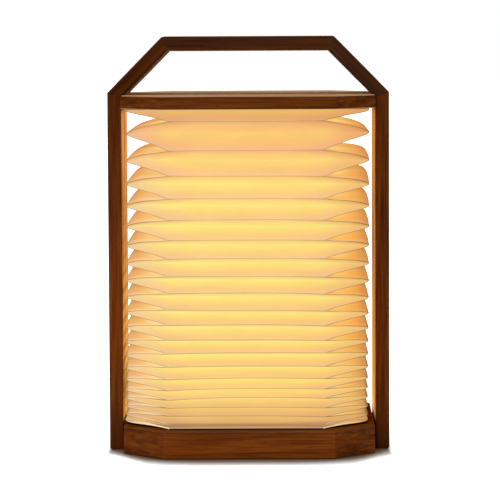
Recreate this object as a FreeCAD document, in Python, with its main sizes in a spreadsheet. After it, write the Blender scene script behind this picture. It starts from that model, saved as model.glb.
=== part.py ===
import FreeCAD, Part

import math
import os
import re

import Sketcher

# Portable table lamp: a mitred hardwood frame with a handle bar, a base that
# holds the battery and electronics, a pleated paper shade, and a top board that
# slides down the frame on guide pins and folds the shade flat.
# Millimetres. +Z is up, the front faces -Y, the origin is the centre of the
# footprint on the table.

SIZES = {
    # Frame
    "overall_width": 200.0,
    "overall_height": 294.5,
    "handle_rise": 39.3,
    "handle_length": 122.6,
    "frame_thickness": 10.0,
    "frame_depth": 79.0,
    "frame_round": 0.8,
    "foot_round": 2.0,
    "dowel_radius": 1.6,
    "dowel_reach": 5.5,
    "dowel_offset": 22.0,
    # Base block
    "base_depth": 178.0,
    "base_top_height": 20.5,
    "base_lift": 1.0,
    "base_wall": 12.0,
    "base_ceiling": 6.0,
    "base_round": 1.0,
    "corner_cut": 29.0,
    "cover_thickness": 2.5,
    "cover_ledge": 7.0,
    "fit_gap": 0.3,
    "upright_spacer": 1.0,
    # Feet and screws
    "foot_pad_radius": 7.0,
    "foot_pad_height": 2.0,
    "foot_pad_inset": 34.0,
    "cover_screw_radius": 1.25,
    "cover_screw_head": 2.5,
    "cover_screw_length": 9.0,
    "cover_screw_head_height": 1.5,
    "cover_screw_inset": 16.0,
    "frame_screw_radius": 2.0,
    "frame_screw_head": 3.8,
    "frame_screw_head_height": 2.4,
    "frame_screw_bite": 7.5,
    "frame_screw_span": 23.0,
    "frame_screw_height": 9.0,
    # Rear panel with socket and button
    "panel_length": 64.0,
    "panel_height": 13.0,
    "panel_thickness": 2.5,
    "window_length": 61.0,
    "window_height": 8.6,
    "control_height": 9.3,
    "socket_offset": 14.0,
    "socket_width": 9.0,
    "socket_height": 3.2,
    "socket_length": 10.0,
    "socket_wall": 0.35,
    "socket_recess": 1.5,
    "button_offset": 14.0,
    "button_radius": 3.5,
    "button_flange_radius": 4.1,
    "button_flange": 1.2,
    "button_travel": 1.0,
    "button_stem_radius": 1.0,
    "button_clearance": 0.1,
    "switch_size": 6.0,
    "switch_height": 3.2,
    "switch_gap": 3.2,
    "switch_floor": 1.6,
    "dome_thickness": 0.3,
    # Board, battery and wires
    "board_length": 60.0,
    "pcb_thickness": 1.6,
    "standoff_radius": 2.5,
    "pcb_screw_radius": 1.1,
    "pcb_screw_head": 2.1,
    "pcb_screw_head_height": 1.4,
    "pcb_screw_bite": 4.0,
    "pcb_screw_inset": 3.5,
    "pcb_screw_back": 9.0,
    "chip_height": 2.2,
    "chip_size": 8.0,
    "connector_width": 6.0,
    "connector_depth": 5.0,
    "connector_height": 3.0,
    "battery_length": 100.0,
    "battery_width": 60.0,
    "battery_height": 8.0,
    "battery_centre": 30.0,
    "tape_thickness": 0.8,
    "tape_inset": 8.0,
    "wire_radius": 1.2,
    "wire_bend": 5.0,
    "wire_offset": 16.0,
    "wire_height": 9.4,
    "lead_inset": 4.0,
    "lead_run": 16.1,
    "wire_clearance": 0.4,
    # Light module
    "heat_plate_gap": 1.5,
    "heat_plate_thickness": 1.5,
    "led_board_inset": 7.0,
    "led_board_thickness": 1.2,
    "led_size": 3.0,
    "led_height": 0.8,
    "diffuser_inset": 2.0,
    "diffuser_height": 10.0,
    "diffuser_wall": 1.5,
    "diffuser_round": 4.0,
    "plate_screw_inset": 4.0,
    "plate_screw_radius": 1.2,
    "plate_screw_length": 5.0,
    # Shade
    "shade_side_gap": 4.0,
    "shade_front_gap": 3.5,
    "pleat_width": 32.1,
    "paper_thickness": 0.25,
    "shade_shift": 0.8,
    "lower_card": 0.8,
    "upper_card": 1.0,
    "card_margin": 0.6,
    "card_rim": 14.9,
    "card_screw_inset": 9.9,
    "card_screw_radius": 1.1,
    "card_screw_head": 2.4,
    "card_screw_head_height": 1.1,
    "card_screw_bite": 4.0,
    # Sliding top board
    "board_thickness": 9.0,
    "board_rise": 2.3,
    "board_gap": 0.3,
    "board_round": 0.8,
    "seat_clearance": 0.3,
    "stowed_height": 27.9,
    "pin_radius": 2.5,
    "pin_drop": 1.2,
    "pin_length": 18.0,
    "pin_reach": 2.9,
    "groove_clearance": 0.2,
    "groove_end_gap": 0.3,
    "magnet_radius": 2.8,
    "magnet_thickness": 3.0,
    "magnet_span": 26.0,
    "strike_thickness": 1.5,
}

# Mountain folds along the front and back, as shares of the shade's height,
# from the top down. The paper's own weight closes the lower ones.
FRONT_FOLD_SHARES = (
    0.9674, 0.8767, 0.7963, 0.7267, 0.6598, 0.5954, 0.5378, 0.4812, 0.4289, 0.3740,
    0.3285, 0.2805, 0.2397, 0.1977, 0.1593, 0.1264, 0.0982, 0.0671, 0.0395, 0.0135, 0.0,
)

# The least share of a solid that a pocket has to remove, to tell that it points
# the right way
REMOVED_SHARE = 1e-6

doc = FreeCAD.newDocument("TableLamp")
sheet = doc.addObject("Spreadsheet::Sheet", "sizes")
for row, (alias, amount) in enumerate(SIZES.items(), start=1):
    sheet.set("A%d" % row, alias)
    sheet.set("B%d" % row, str(amount))
    sheet.setAlias("B%d" % row, alias)
doc.recompute()


def size(alias):
    """Returns a driving size from the sheet, in millimetres."""
    return float(sheet.get(alias))


def bound(text):
    """Points each size named in a sum at its cell in the sheet."""
    return re.sub(r"[a-z][a-z_0-9]*",
                  lambda found: "sizes." + found.group(0) if found.group(0) in SIZES else found.group(0), text)


def value(text):
    """Works out a sum of named sizes, for a first guess before it is bound."""
    names = {alias: size(alias) for alias in set(re.findall(r"[a-z][a-z_0-9]*", text)) & set(SIZES)}
    total = re.sub(r"[a-z][a-z_0-9]*",
                   lambda found: repr(names[found.group(0)]) if found.group(0) in names else found.group(0), text)
    probe.set("A1", "=" + total)
    probe.recompute()
    return float(probe.get("A1"))


# Places that several pieces share, as sums of the named sizes
INNER_X = "(overall_width/2 - frame_thickness)"
SHOULDER_Z = "(overall_height - handle_rise)"
RISE = "handle_rise"
RUN = "(overall_width/2 - handle_length/2)"
SLANT = "sqrt(%s^2 + %s^2)" % (RISE, RUN)
SHOULDER_DROP = "(frame_thickness*(%s - %s)/%s)" % (SLANT, RISE, RUN)
BAR_DRAW = "(frame_thickness*(%s - %s)/%s)" % (SLANT, RUN, RISE)
SEAT_Z = "(%s - %s)" % (SHOULDER_Z, SHOULDER_DROP)
BAR_INNER_X = "(handle_length/2 - %s)" % BAR_DRAW
BAR_INNER_Z = "(overall_height - frame_thickness)"
BASE_HALF = "(overall_width/2 - frame_thickness - upright_spacer)"
BOARD_HALF = "(overall_width/2 - frame_thickness - board_gap)"
BASE_HEIGHT = "(base_top_height - base_lift)"
CEILING_Z = "(base_top_height - base_ceiling)"
PANEL_INNER_Y = "(base_depth/2 - panel_thickness)"
PCB_TOP = "(control_height + socket_height/2 + pcb_thickness)"
PCB_UNDER = "(control_height + socket_height/2)"
FLANGE_Y = "(base_depth/2 - panel_thickness - button_flange)"
SWITCH_Y = "(base_depth/2 - panel_thickness - button_flange - switch_gap)"
BOARD_TOP = "(%s + board_rise)" % SEAT_Z
BOARD_UNDER = "(%s - board_thickness)" % BOARD_TOP
BOARD_TRAVEL = "(%s - base_top_height - stowed_height)" % BOARD_UNDER
PIN_Z = "(%s - board_thickness/2 - pin_drop)" % BOARD_TOP
SHADE_HALF_X = "(%s - shade_side_gap)" % INNER_X
SHADE_HALF_Y = "(base_depth/2 - shade_front_gap)"
SHADE_FOOT = "(base_top_height + lower_card)"
SHADE_HEAD = "(%s - upper_card)" % BOARD_UNDER
NARROW_X = "(%s - pleat_width)" % SHADE_HALF_X
NARROW_Y = "(%s - pleat_width)" % SHADE_HALF_Y
CARD_OPENING = "(min(%s; %s) - card_rim)" % (NARROW_X, NARROW_Y)
HEAT_PLATE_RADIUS = "(%s - heat_plate_gap)" % CARD_OPENING
LED_BOARD_RADIUS = "(%s - led_board_inset)" % HEAT_PLATE_RADIUS
LED_CIRCLE = "(%s*2/3)" % LED_BOARD_RADIUS
DIFFUSER_RADIUS = "(%s - diffuser_inset)" % HEAT_PLATE_RADIUS
PLATE_SCREW_CIRCLE = "(%s - plate_screw_inset)" % HEAT_PLATE_RADIUS
LEAD_Y = "(%s - lead_inset)" % LED_BOARD_RADIUS
PCB_Y = "(%s + lead_run)" % LEAD_Y
PCB_WIDTH = "(%s - %s)" % (SWITCH_Y, PCB_Y)
PLATE_TOP = "(base_top_height + heat_plate_thickness)"
LED_TOP = "(base_top_height + heat_plate_thickness + led_board_thickness)"

probe = doc.addObject("Spreadsheet::Sheet", "probe")
nodes = []


def bind(obj, **sums):
    """Binds properties of an object to sums of named sizes.

    Args:
        obj: The document object.
        sums: Property names with a sum each; x, y and z are the placement's.
    """
    for prop, text in sums.items():
        path = "Placement.Base." + prop if prop in ("x", "y", "z") else prop
        obj.setExpression(path, bound(text))
    return obj


def box(name, length, width, height, x="0", y="0", z="0"):
    """Makes a box whose sizes and lowest corner are sums of named sizes."""
    return bind(doc.addObject("Part::Box", name), Length=length, Width=width, Height=height, x=x, y=y, z=z)


def cylinder(name, radius, height, x="0", y="0", z="0", along="Z"):
    """Makes a cylinder that starts at a point and runs along an axis."""
    rod = doc.addObject("Part::Cylinder", name)
    turns = {"Z": (FreeCAD.Vector(0, 0, 1), 0), "X": (FreeCAD.Vector(0, 1, 0), 90),
             "-X": (FreeCAD.Vector(0, 1, 0), -90), "Y": (FreeCAD.Vector(1, 0, 0), -90),
             "-Y": (FreeCAD.Vector(1, 0, 0), 90), "-Z": (FreeCAD.Vector(1, 0, 0), 180)}
    rod.Placement = FreeCAD.Placement(FreeCAD.Vector(), FreeCAD.Rotation(*turns[along]))
    return bind(rod, Radius=radius, Height=height, x=x, y=y, z=z)


def cone(name, low, high, height, x="0", y="0", z="0"):
    """Makes an upright cone from a low radius to a high one."""
    return bind(doc.addObject("Part::Cone", name), Radius1=low, Radius2=high, Height=height, x=x, y=y, z=z)


def fuse(name, parts):
    """Joins touching solids into one."""
    joined = doc.addObject("Part::MultiFuse", name)
    joined.Shapes = parts
    joined.Refine = True
    return joined


def group(name, parts):
    """Keeps separate solids together in one object."""
    together = doc.addObject("Part::Compound", name)
    together.Links = parts
    return together


def cut(name, base, tools):
    """Cuts one tool or several out of a solid."""
    result = doc.addObject("Part::Cut", name)
    result.Base = base
    result.Tool = tools[0] if len(tools) == 1 else group(name + "_tools", tools)
    return result


def node(name, obj):
    """Gives a finished sub-part the label that names its file."""
    obj.Label = name
    nodes.append(obj)
    return obj


def plane_of(body, role):
    """Finds one of a body's own origin planes."""
    return [feature for feature in body.Origin.OriginFeatures if feature.Role == role][0]


def sketch(body, role, outlines, height="0"):
    """Draws closed outlines of straight lines on one of a body's planes.

    Args:
        body: The body that owns the sketch.
        role: The origin plane, such as XY_Plane.
        outlines: Closed outlines, each a list of points given as two sums.
        height: The sketch's distance from the plane.
    """
    drawing = body.newObject("Sketcher::SketchObject", body.Name + "_sketch")
    drawing.AttachmentSupport = [(plane_of(body, role), "")]
    drawing.MapMode = "FlatFace"
    if height != "0":
        drawing.setExpression("AttachmentOffset.Base.z", bound(height))
    for points in outlines:
        first = drawing.GeometryCount
        places = [(value(x), value(y)) for x, y in points]
        for number, start in enumerate(places):
            end = places[(number + 1) % len(places)]
            drawing.addGeometry(Part.LineSegment(FreeCAD.Vector(start[0], start[1], 0),
                                                 FreeCAD.Vector(end[0], end[1], 0)), False)
        for number in range(len(places)):
            following = first + (number + 1) % len(places)
            drawing.addConstraint(Sketcher.Constraint("Coincident", first + number, 2, following, 1))
        for number, (point, place) in enumerate(zip(points, places)):
            for kind, on_axis, text, at in (("DistanceX", -2, point[0], place[0]),
                                            ("DistanceY", -1, point[1], place[1])):
                if text == "0":
                    drawing.addConstraint(Sketcher.Constraint("PointOnObject", first + number, 1, on_axis))
                else:
                    made = drawing.addConstraint(Sketcher.Constraint(kind, -1, 1, first + number, 1, at))
                    drawing.setExpression("Constraints[%d]" % made, bound(text))
    return drawing


def pad(body, drawing, length, both_ways=False):
    """Raises a solid from a sketch."""
    feature = body.newObject("PartDesign::Pad", body.Name + "_pad")
    feature.Profile = drawing
    feature.SideType = "Symmetric" if both_ways else "One side"
    feature.setExpression("Length", bound(length))
    drawing.Visibility = False
    doc.recompute()
    return feature


def pocket(body, drawing, length, both_ways=False):
    """Sinks a sketch into a solid, in the direction that removes material."""
    before = body.Shape.Volume
    feature = body.newObject("PartDesign::Pocket", body.Name + "_pocket")
    feature.Profile = drawing
    feature.SideType = "Symmetric" if both_ways else "One side"
    feature.setExpression("Length", bound(length))
    doc.recompute()
    least = before * REMOVED_SHARE
    if before - body.Shape.Volume < least:
        feature.Reversed = True
        doc.recompute()
    if before - body.Shape.Volume < least:
        raise RuntimeError("a pocket removes nothing: " + feature.Name)
    return feature


def edges_where(shape, test):
    """Lists the names of a shape's edges that pass a test of their ends."""
    found = []
    for number, edge in enumerate(shape.Edges, start=1):
        ends = [vertex.Point for vertex in edge.Vertexes]
        if len(ends) == 2 and test(ends[0], ends[1]):
            found.append("Edge%d" % number)
    return found


def soften(body, radius, test):
    """Rounds the edges of a body's last feature that pass a test."""
    base = body.Tip
    feature = body.newObject("PartDesign::Fillet", body.Name + "_round")
    feature.Base = (base, edges_where(base.Shape, test))
    feature.setExpression("Radius", bound(radius))
    doc.recompute()
    return feature


def near(first, second):
    """Says whether two places are the same."""
    return math.isclose(first, second, abs_tol=size("paper_thickness") / size("overall_height"))


def octagon(half_x, half_y, cut_back):
    """Points of a rectangle with its four corners cut off, as sums."""
    across, along = "(%s - %s)" % (half_x, cut_back), "(%s - %s)" % (half_y, cut_back)
    return [("-" + across, "-" + half_y), (across, "-" + half_y), (half_x, "-" + along), (half_x, along),
            (across, half_y), ("-" + across, half_y), ("-" + half_x, along), ("-" + half_x, "-" + along)]


def run_along_depth(first, second):
    """Tests an edge for running from front to back."""
    return near(first.x, second.x) and near(first.z, second.z)


# Frame: two uprights, two slanted braces and the handle bar, mitred together

def frame_stick(name, outline, soft_edges):
    """Makes one stick of the frame from its front outline."""
    body = doc.addObject("PartDesign::Body", name)
    pad(body, sketch(body, "XZ_Plane", [outline]), "frame_depth", both_ways=True)
    soften(body, "frame_round", soft_edges)
    return body


def along_faces(first, second):
    """Tests for the long edges on a stick's front and back faces."""
    level = near(abs(first.y), size("frame_depth") / 2) and near(first.y, second.y)
    return level and (first - second).Length > size("frame_thickness") * math.sqrt(2)


def dowel_rods(name, spare):
    """Places the dowels that cross the four mitres.

    Args:
        name: First part of the rods' names.
        spare: Extra length at each end, as a sum.
    """
    rods = []
    for side, sign in (("left", "-"), ("right", "")):
        for joint, outer, inner in (
                ("shoulder", ("overall_width/2", SHOULDER_Z), (INNER_X, SEAT_Z)),
                ("corner", ("handle_length/2", "overall_height"), (BAR_INNER_X, BAR_INNER_Z))):
            middle_x = "(%s + %s)/2" % (outer[0], inner[0])
            middle_z = "(%s + %s)/2" % (outer[1], inner[1])
            mitre = (value(outer[0]) - value(inner[0]), value(outer[1]) - value(inner[1]))
            # Square to the mitre: its direction turned by a quarter in the XZ plane
            along_x = "(%s - %s)" % (outer[1], inner[1])
            along_z = "(%s - %s)" % (inner[0], outer[0])
            length = "sqrt(%s^2 + %s^2)" % (along_x, along_z)
            for place, way in (("front", "-"), ("back", "")):
                rod = doc.addObject("Part::Cylinder", "%s_%s_%s_%s" % (name, side, joint, place))
                flip = -1 if side == "left" else 1
                direction = FreeCAD.Vector(flip * mitre[1], 0, -mitre[0])
                rod.Placement = FreeCAD.Placement(
                    FreeCAD.Vector(), FreeCAD.Rotation(FreeCAD.Vector(0, 0, 1), direction))
                bind(rod, Radius="dowel_radius", Height="2*dowel_reach",
                     x="%s(%s - dowel_reach*%s/%s)" % (sign, middle_x, along_x, length),
                     y=way + "dowel_offset",
                     z="%s - dowel_reach*%s/%s" % (middle_z, along_z, length))
                rods.append(rod)
    return rods


dowels = group("dowels", dowel_rods("dowel", "0"))
node("frame_dowels", dowels)

bar = frame_stick("bar_stick", [("-handle_length/2", "overall_height"), ("handle_length/2", "overall_height"),
                                (BAR_INNER_X, BAR_INNER_Z), ("-" + BAR_INNER_X, BAR_INNER_Z)], along_faces)
node("handle_bar", cut("bar_cut", bar, [dowels]))

for side, sign in (("left", "-"), ("right", "")):
    brace = frame_stick(side + "_brace_stick",
                        [(sign + "overall_width/2", SHOULDER_Z), (sign + "handle_length/2", "overall_height"),
                         (sign + BAR_INNER_X, BAR_INNER_Z), (sign + INNER_X, SEAT_Z)], along_faces)
    node(side + "_brace", cut(side + "_brace_cut", brace, [dowels]))

# The sliding board's guide pins ride in a groove down each upright. Steel discs
# let in beside the groove hold the board's magnets at the top.
GROOVE_HALF = "(pin_radius + groove_clearance)"
GROOVE_LOW = "(%s - %s - pin_radius - groove_end_gap)" % (PIN_Z, BOARD_TRAVEL)
GROOVE_HIGH = "(%s + pin_radius + groove_end_gap)" % PIN_Z
GROOVE_SINK = "(pin_reach + groove_clearance)"

screw_rods = {}
strikes = []
frame_screws = []
spacers = []
for side, sign, way in (("left", "-", "-X"), ("right", "", "X")):
    upright = doc.addObject("PartDesign::Body", side + "_upright_stick")
    pad(upright, sketch(upright, "XZ_Plane", [[(sign + "overall_width/2", "0"), (sign + INNER_X, "0"),
                                               (sign + INNER_X, SEAT_Z),
                                               (sign + "overall_width/2", SHOULDER_Z)]]),
        "frame_depth", both_ways=True)
    soften(upright, "foot_round",
           lambda first, second: run_along_depth(first, second) and near(first.z, 0)
           and near(abs(first.x), size("overall_width") / 2))
    soften(upright, "frame_round",
           lambda first, second: near(abs(first.y), size("frame_depth") / 2) and near(first.y, second.y)
           and (first - second).Length > 2 * size("frame_thickness"))
    groove_x = "-" + INNER_X + " - " + GROOVE_SINK if side == "left" else INNER_X
    groove = box(side + "_groove", GROOVE_SINK, "2*" + GROOVE_HALF, "%s - %s" % (GROOVE_HIGH, GROOVE_LOW),
                 x=groove_x, y="-" + GROOVE_HALF, z=GROOVE_LOW)
    tools = [dowels, groove]
    for place, step in (("front", "-"), ("back", "")):
        strike = cylinder("%s_%s_strike" % (side, place), "magnet_radius", "strike_thickness",
                          x=sign + INNER_X, y=step + "magnet_span", z=PIN_Z, along=way)
        strikes.append(strike)
        shank = cylinder("%s_%s_shank" % (side, place), "frame_screw_radius",
                         "base_wall + upright_spacer + frame_screw_bite",
                         x="%s(%s - base_wall)" % (sign, BASE_HALF), y=step + "frame_screw_span",
                         z="frame_screw_height", along=way)
        head = cylinder("%s_%s_screw_head" % (side, place), "frame_screw_head", "frame_screw_head_height",
                        x="%s(%s - base_wall - frame_screw_head_height)" % (sign, BASE_HALF),
                        y=step + "frame_screw_span", z="frame_screw_height", along=way)
        frame_screws.append(fuse("%s_%s_frame_screw" % (side, place), [shank, head]))
        ring = cylinder("%s_%s_ring" % (side, place), "frame_screw_head", "upright_spacer",
                        x=sign + BASE_HALF, y=step + "frame_screw_span", z="frame_screw_height", along=way)
        spacers.append(cut("%s_%s_spacer" % (side, place), ring, [shank]))
        screw_rods[side + place] = shank
        tools += [strike, shank]
    node(side + "_upright", cut(side + "_upright_cut", upright, tools))
node("strike_discs", group("strike_group", strikes))
node("frame_screws", group("frame_screw_group", frame_screws))
node("frame_spacers", group("spacer_group", spacers))

# Base: a hollow wooden block with cut corners, closed from below

CAVITY_X = "(%s - base_wall)" % BASE_HALF
CAVITY_Y = "(base_depth/2 - base_wall)"
WALL_CUT = "(corner_cut - base_wall*(2 - sqrt(2)))"
LEDGE_X = "(%s - base_wall + cover_ledge)" % BASE_HALF
LEDGE_Y = "(base_depth/2 - base_wall + cover_ledge)"
LEDGE_CUT = "(corner_cut - (base_wall - cover_ledge)*(2 - sqrt(2)))"

base = doc.addObject("PartDesign::Body", "base_body")
pad(base, sketch(base, "XY_Plane", [octagon(BASE_HALF, "(base_depth/2)", "corner_cut")], height="base_lift"),
    BASE_HEIGHT)
soften(base, "base_round",
       lambda first, second: near(first.z, second.z) and near(first.z, size("base_top_height")))
pocket(base, sketch(base, "XY_Plane", [octagon(CAVITY_X, CAVITY_Y, WALL_CUT)], height="base_lift"),
       "%s - base_ceiling" % BASE_HEIGHT)
pocket(base, sketch(base, "XY_Plane", [octagon(LEDGE_X, LEDGE_Y, LEDGE_CUT)], height="base_lift"),
       "cover_thickness")

panel_seat = box("panel_seat", "panel_length", "panel_thickness", "panel_height",
                 x="-panel_length/2", y=PANEL_INNER_Y, z="control_height - panel_height/2")
window = box("window", "window_length", "base_wall", "window_height",
             x="-window_length/2", y="base_depth/2 - base_wall", z="control_height - window_height/2")
lead_hole = cylinder("lead_hole", "wire_radius + wire_clearance", "base_ceiling",
                     y=LEAD_Y, z=CEILING_Z)

# Bottom cover, its screws and the foot pads
cover_plate = doc.addObject("PartDesign::Body", "cover_plate")
pad(cover_plate, sketch(cover_plate, "XY_Plane",
                        [octagon("(%s - fit_gap)" % LEDGE_X, "(%s - fit_gap)" % LEDGE_Y, LEDGE_CUT)],
                        height="base_lift"), "cover_thickness")
cover_screws = []
cover_shanks = []
screw_places = []
for step_x in ("-", ""):
    for step_y in ("-", ""):
        screw_places.append(("%s(%s - corner_cut - cover_screw_inset)" % (step_x, BASE_HALF),
                             "%s(%s + cover_ledge/2)" % (step_y, CAVITY_Y)))
for step_x in ("-", ""):
    screw_places.append(("%s(%s + cover_ledge/2)" % (step_x, CAVITY_X), "0"))
for number, (x, y) in enumerate(screw_places):
    shank = cylinder("cover_shank_%d" % number, "cover_screw_radius", "cover_screw_length", x=x, y=y, z="base_lift")
    head = cone("cover_head_%d" % number, "cover_screw_head", "cover_screw_radius", "cover_screw_head_height",
                x=x, y=y, z="base_lift")
    cover_screws.append(fuse("cover_screw_%d" % number, [shank, head]))
    cover_shanks.append(shank)
foot_pads = []
for step_x in ("-", ""):
    for step_y in ("-", ""):
        foot_pads.append(cylinder("foot_pad_%d" % len(foot_pads), "foot_pad_radius", "foot_pad_height",
                                  x="%s(%s - foot_pad_inset)" % (step_x, BASE_HALF),
                                  y="%s(base_depth/2 - foot_pad_inset)" % step_y))
node("foot_pads", group("foot_pad_group", foot_pads))
node("cover_screws", group("cover_screw_group", cover_screws))
node("bottom_cover", cut("cover_cut", cover_plate, foot_pads + cover_screws))

# Control board behind the rear panel, hung from the ceiling on standoffs
pcb = box("pcb_plate", "board_length", PCB_WIDTH, "pcb_thickness",
          x="-board_length/2", y=PCB_Y, z=PCB_UNDER)
standoffs = []
pcb_screws = []
for step_x in ("-", ""):
    for far in (False, True):
        x = "%s(board_length/2 - pcb_screw_inset)" % step_x
        y = "%s - pcb_screw_back" % SWITCH_Y if far else "%s + pcb_screw_inset" % PCB_Y
        number = len(pcb_screws)
        shank = cylinder("pcb_shank_%d" % number, "pcb_screw_radius",
                         "%s - %s + pcb_screw_bite" % (CEILING_Z, PCB_UNDER), x=x, y=y, z=PCB_UNDER)
        head = cylinder("pcb_head_%d" % number, "pcb_screw_head", "pcb_screw_head_height",
                        x=x, y=y, z="%s - pcb_screw_head_height" % PCB_UNDER)
        pcb_screws.append(fuse("pcb_screw_%d" % number, [shank, head]))
        tube = cylinder("standoff_tube_%d" % number, "standoff_radius", "%s - %s" % (CEILING_Z, PCB_TOP),
                        x=x, y=y, z=PCB_TOP)
        standoffs.append(cut("standoff_%d" % number, tube, [shank]))
node("control_board_screws", group("pcb_screw_group", pcb_screws))
node("control_board_standoffs", group("standoff_group", standoffs))
node("control_board", cut("pcb_cut", pcb, pcb_screws))

chips = [
    box("charge_chip", "chip_size", "chip_size", "chip_height",
        x="-chip_size/2", y="(%s + %s)/2" % (PCB_Y, SWITCH_Y), z="%s - chip_height" % PCB_UNDER),
    box("driver_chip", "chip_size/2", "chip_size", "chip_height/2",
        x="-board_length/4 - chip_size/2", y="%s + %s/4" % (PCB_Y, PCB_WIDTH), z="%s - chip_height/2" % PCB_UNDER),
    cylinder("choke", "chip_size/2", "chip_height", x="board_length/4 + chip_size/2", y="(%s + %s)/2" % (PCB_Y, SWITCH_Y),
             z="%s - chip_height" % PCB_UNDER),
    box("battery_connector", "connector_width", "connector_depth", "connector_height",
        x="wire_offset - connector_width/2", y=PCB_Y, z="%s - connector_height" % PCB_UNDER),
    box("light_connector", "connector_width", "connector_depth", "connector_height",
        x="-connector_width/2", y=PCB_Y, z="%s - connector_height" % PCB_UNDER),
]
node("board_components", group("component_group", chips))

# Charging socket: a rounded metal shell, open to the rear, with its tongue
def rounded_slot(name, width, height, length, x, y, z):
    """Makes a slot with round ends that runs along the depth."""
    radius = "(%s)/2" % height
    straight = "(%s - %s)" % (width, height)
    return fuse(name, [
        box(name + "_middle", straight, length, height, x="%s - %s/2" % (x, straight), y=y, z="%s - %s" % (z, radius)),
        cylinder(name + "_west", radius, length, x="%s - %s/2" % (x, straight), y=y, z=z, along="Y"),
        cylinder(name + "_east", radius, length, x="%s + %s/2" % (x, straight), y=y, z=z, along="Y")])


SOCKET_Y = "(base_depth/2 - socket_recess - socket_length)"
socket_shell = rounded_slot("socket_shell", "socket_width", "socket_height", "socket_length",
                            "-socket_offset", SOCKET_Y, "control_height")
socket_space = rounded_slot("socket_space", "socket_width - 2*socket_wall", "socket_height - 2*socket_wall",
                            "socket_length - 2*socket_wall", "-socket_offset",
                            "%s + 2*socket_wall" % SOCKET_Y, "control_height")
node("charging_socket", cut("socket_cut", socket_shell, [socket_space]))
tongue = box("tongue", "socket_width - 8*socket_wall", "socket_length - 4*socket_wall", "2*socket_wall",
             x="-socket_offset - socket_width/2 + 4*socket_wall", y="%s + 2*socket_wall" % SOCKET_Y,
             z="control_height - socket_wall")
node("socket_tongue", tongue)

socket_hole = rounded_slot("socket_hole", "socket_width + 2*fit_gap", "socket_height + 2*fit_gap",
                           "panel_thickness", "-socket_offset", PANEL_INNER_Y, "control_height")
button_hole = cylinder("button_hole", "button_radius + button_clearance", "panel_thickness",
                       x="button_offset", y=PANEL_INNER_Y, z="control_height", along="Y")
panel = box("panel_plate", "panel_length", "panel_thickness", "panel_height",
            x="-panel_length/2", y=PANEL_INNER_Y, z="control_height - panel_height/2")
node("rear_panel", cut("panel_cut", panel, [socket_hole, button_hole]))

# Push button: a flanged cap, its stem and the small switch that it presses
cap = cylinder("cap", "button_radius", "panel_thickness", x="button_offset", y=PANEL_INNER_Y,
               z="control_height", along="Y")
flange = cylinder("flange", "button_flange_radius", "button_flange", x="button_offset", y=FLANGE_Y,
                  z="control_height", along="Y")
node("power_button", fuse("button_fuse", [cap, flange]))
STEM_LENGTH = "(switch_gap + switch_size - switch_floor - dome_thickness - button_travel - button_clearance)"
stem = cylinder("stem", "button_stem_radius", STEM_LENGTH, x="button_offset",
                y="%s - %s" % (FLANGE_Y, STEM_LENGTH), z="control_height", along="Y")
node("switch_plunger", stem)
switch_block = box("switch_block", "switch_size", "switch_size", "switch_height",
                   x="button_offset - switch_size/2", y="%s - switch_size" % SWITCH_Y,
                   z="%s - switch_height" % PCB_UNDER)
switch_bore = cylinder("switch_bore", "button_stem_radius + button_clearance/2", "switch_size - switch_floor - dome_thickness",
                       x="button_offset", y="%s - switch_size + switch_floor + dome_thickness" % SWITCH_Y,
                       z="control_height", along="Y")
dome_seat = cylinder("dome_seat", "button_stem_radius", "dome_thickness", x="button_offset",
                     y="%s - switch_size + switch_floor" % SWITCH_Y, z="control_height", along="Y")
node("switch_housing", cut("switch_cut", switch_block, [switch_bore, dome_seat]))
node("switch_dome", cylinder("dome", "button_stem_radius", "dome_thickness", x="button_offset",
                             y="%s - switch_size + switch_floor" % SWITCH_Y, z="control_height", along="Y"))

# Battery, taped to the ceiling, with its lead
BATTERY_Z = "(%s - tape_thickness - battery_height)" % CEILING_Z
battery = box("battery_block", "battery_length", "battery_width", "battery_height",
              x="-battery_length/2", y="-battery_centre - battery_width/2", z=BATTERY_Z)
node("battery_pack", battery)
node("battery_tape", box("tape", "battery_length - 2*tape_inset", "battery_width - 2*tape_inset", "tape_thickness",
                         x="-battery_length/2 + tape_inset", y="-battery_centre - battery_width/2 + tape_inset",
                         z="%s - tape_thickness" % CEILING_Z))
node("battery_lead", cylinder("lead", "wire_radius", "%s + battery_centre - battery_width/2" % PCB_Y,
                              x="wire_offset", y="battery_width/2 - battery_centre", z="wire_height", along="Y"))

# Light module on the base inside the shade
plate = cylinder("plate", HEAT_PLATE_RADIUS, "heat_plate_thickness", z="base_top_height")
plate_screws = []
for number in range(3):
    angle = "%d*360/3 + 90" % number
    x, y = "%s*cos(%s)" % (PLATE_SCREW_CIRCLE, angle), "%s*sin(%s)" % (PLATE_SCREW_CIRCLE, angle)
    plate_screws.append(cylinder("plate_screw_%d" % number, "plate_screw_radius",
                                 "plate_screw_length + heat_plate_thickness", x=x, y=y,
                                 z="base_top_height - plate_screw_length"))
plate_lead = cylinder("plate_lead", "wire_radius + wire_clearance", "heat_plate_thickness",
                      y=LEAD_Y, z="base_top_height")
node("light_screws", group("plate_screw_group", plate_screws))
node("heat_plate", cut("plate_cut", plate, plate_screws + [plate_lead]))
led_disc = cylinder("led_disc", LED_BOARD_RADIUS, "led_board_thickness", z=PLATE_TOP)
led_lead_hole = cylinder("led_lead_hole", "wire_radius", "led_board_thickness", y=LEAD_Y, z=PLATE_TOP)
node("led_board", cut("led_board_cut", led_disc, [led_lead_hole]))
LED_COUNT = 12
leds = []
for number in range(LED_COUNT):
    angle = "%d*360/%d" % (number, LED_COUNT)
    leds.append(box("led_%d" % number, "led_size", "led_size", "led_height",
                    x="%s*cos(%s) - led_size/2" % (LED_CIRCLE, angle),
                    y="%s*sin(%s) - led_size/2" % (LED_CIRCLE, angle), z=LED_TOP))
node("led_chips", group("led_group", leds))

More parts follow.
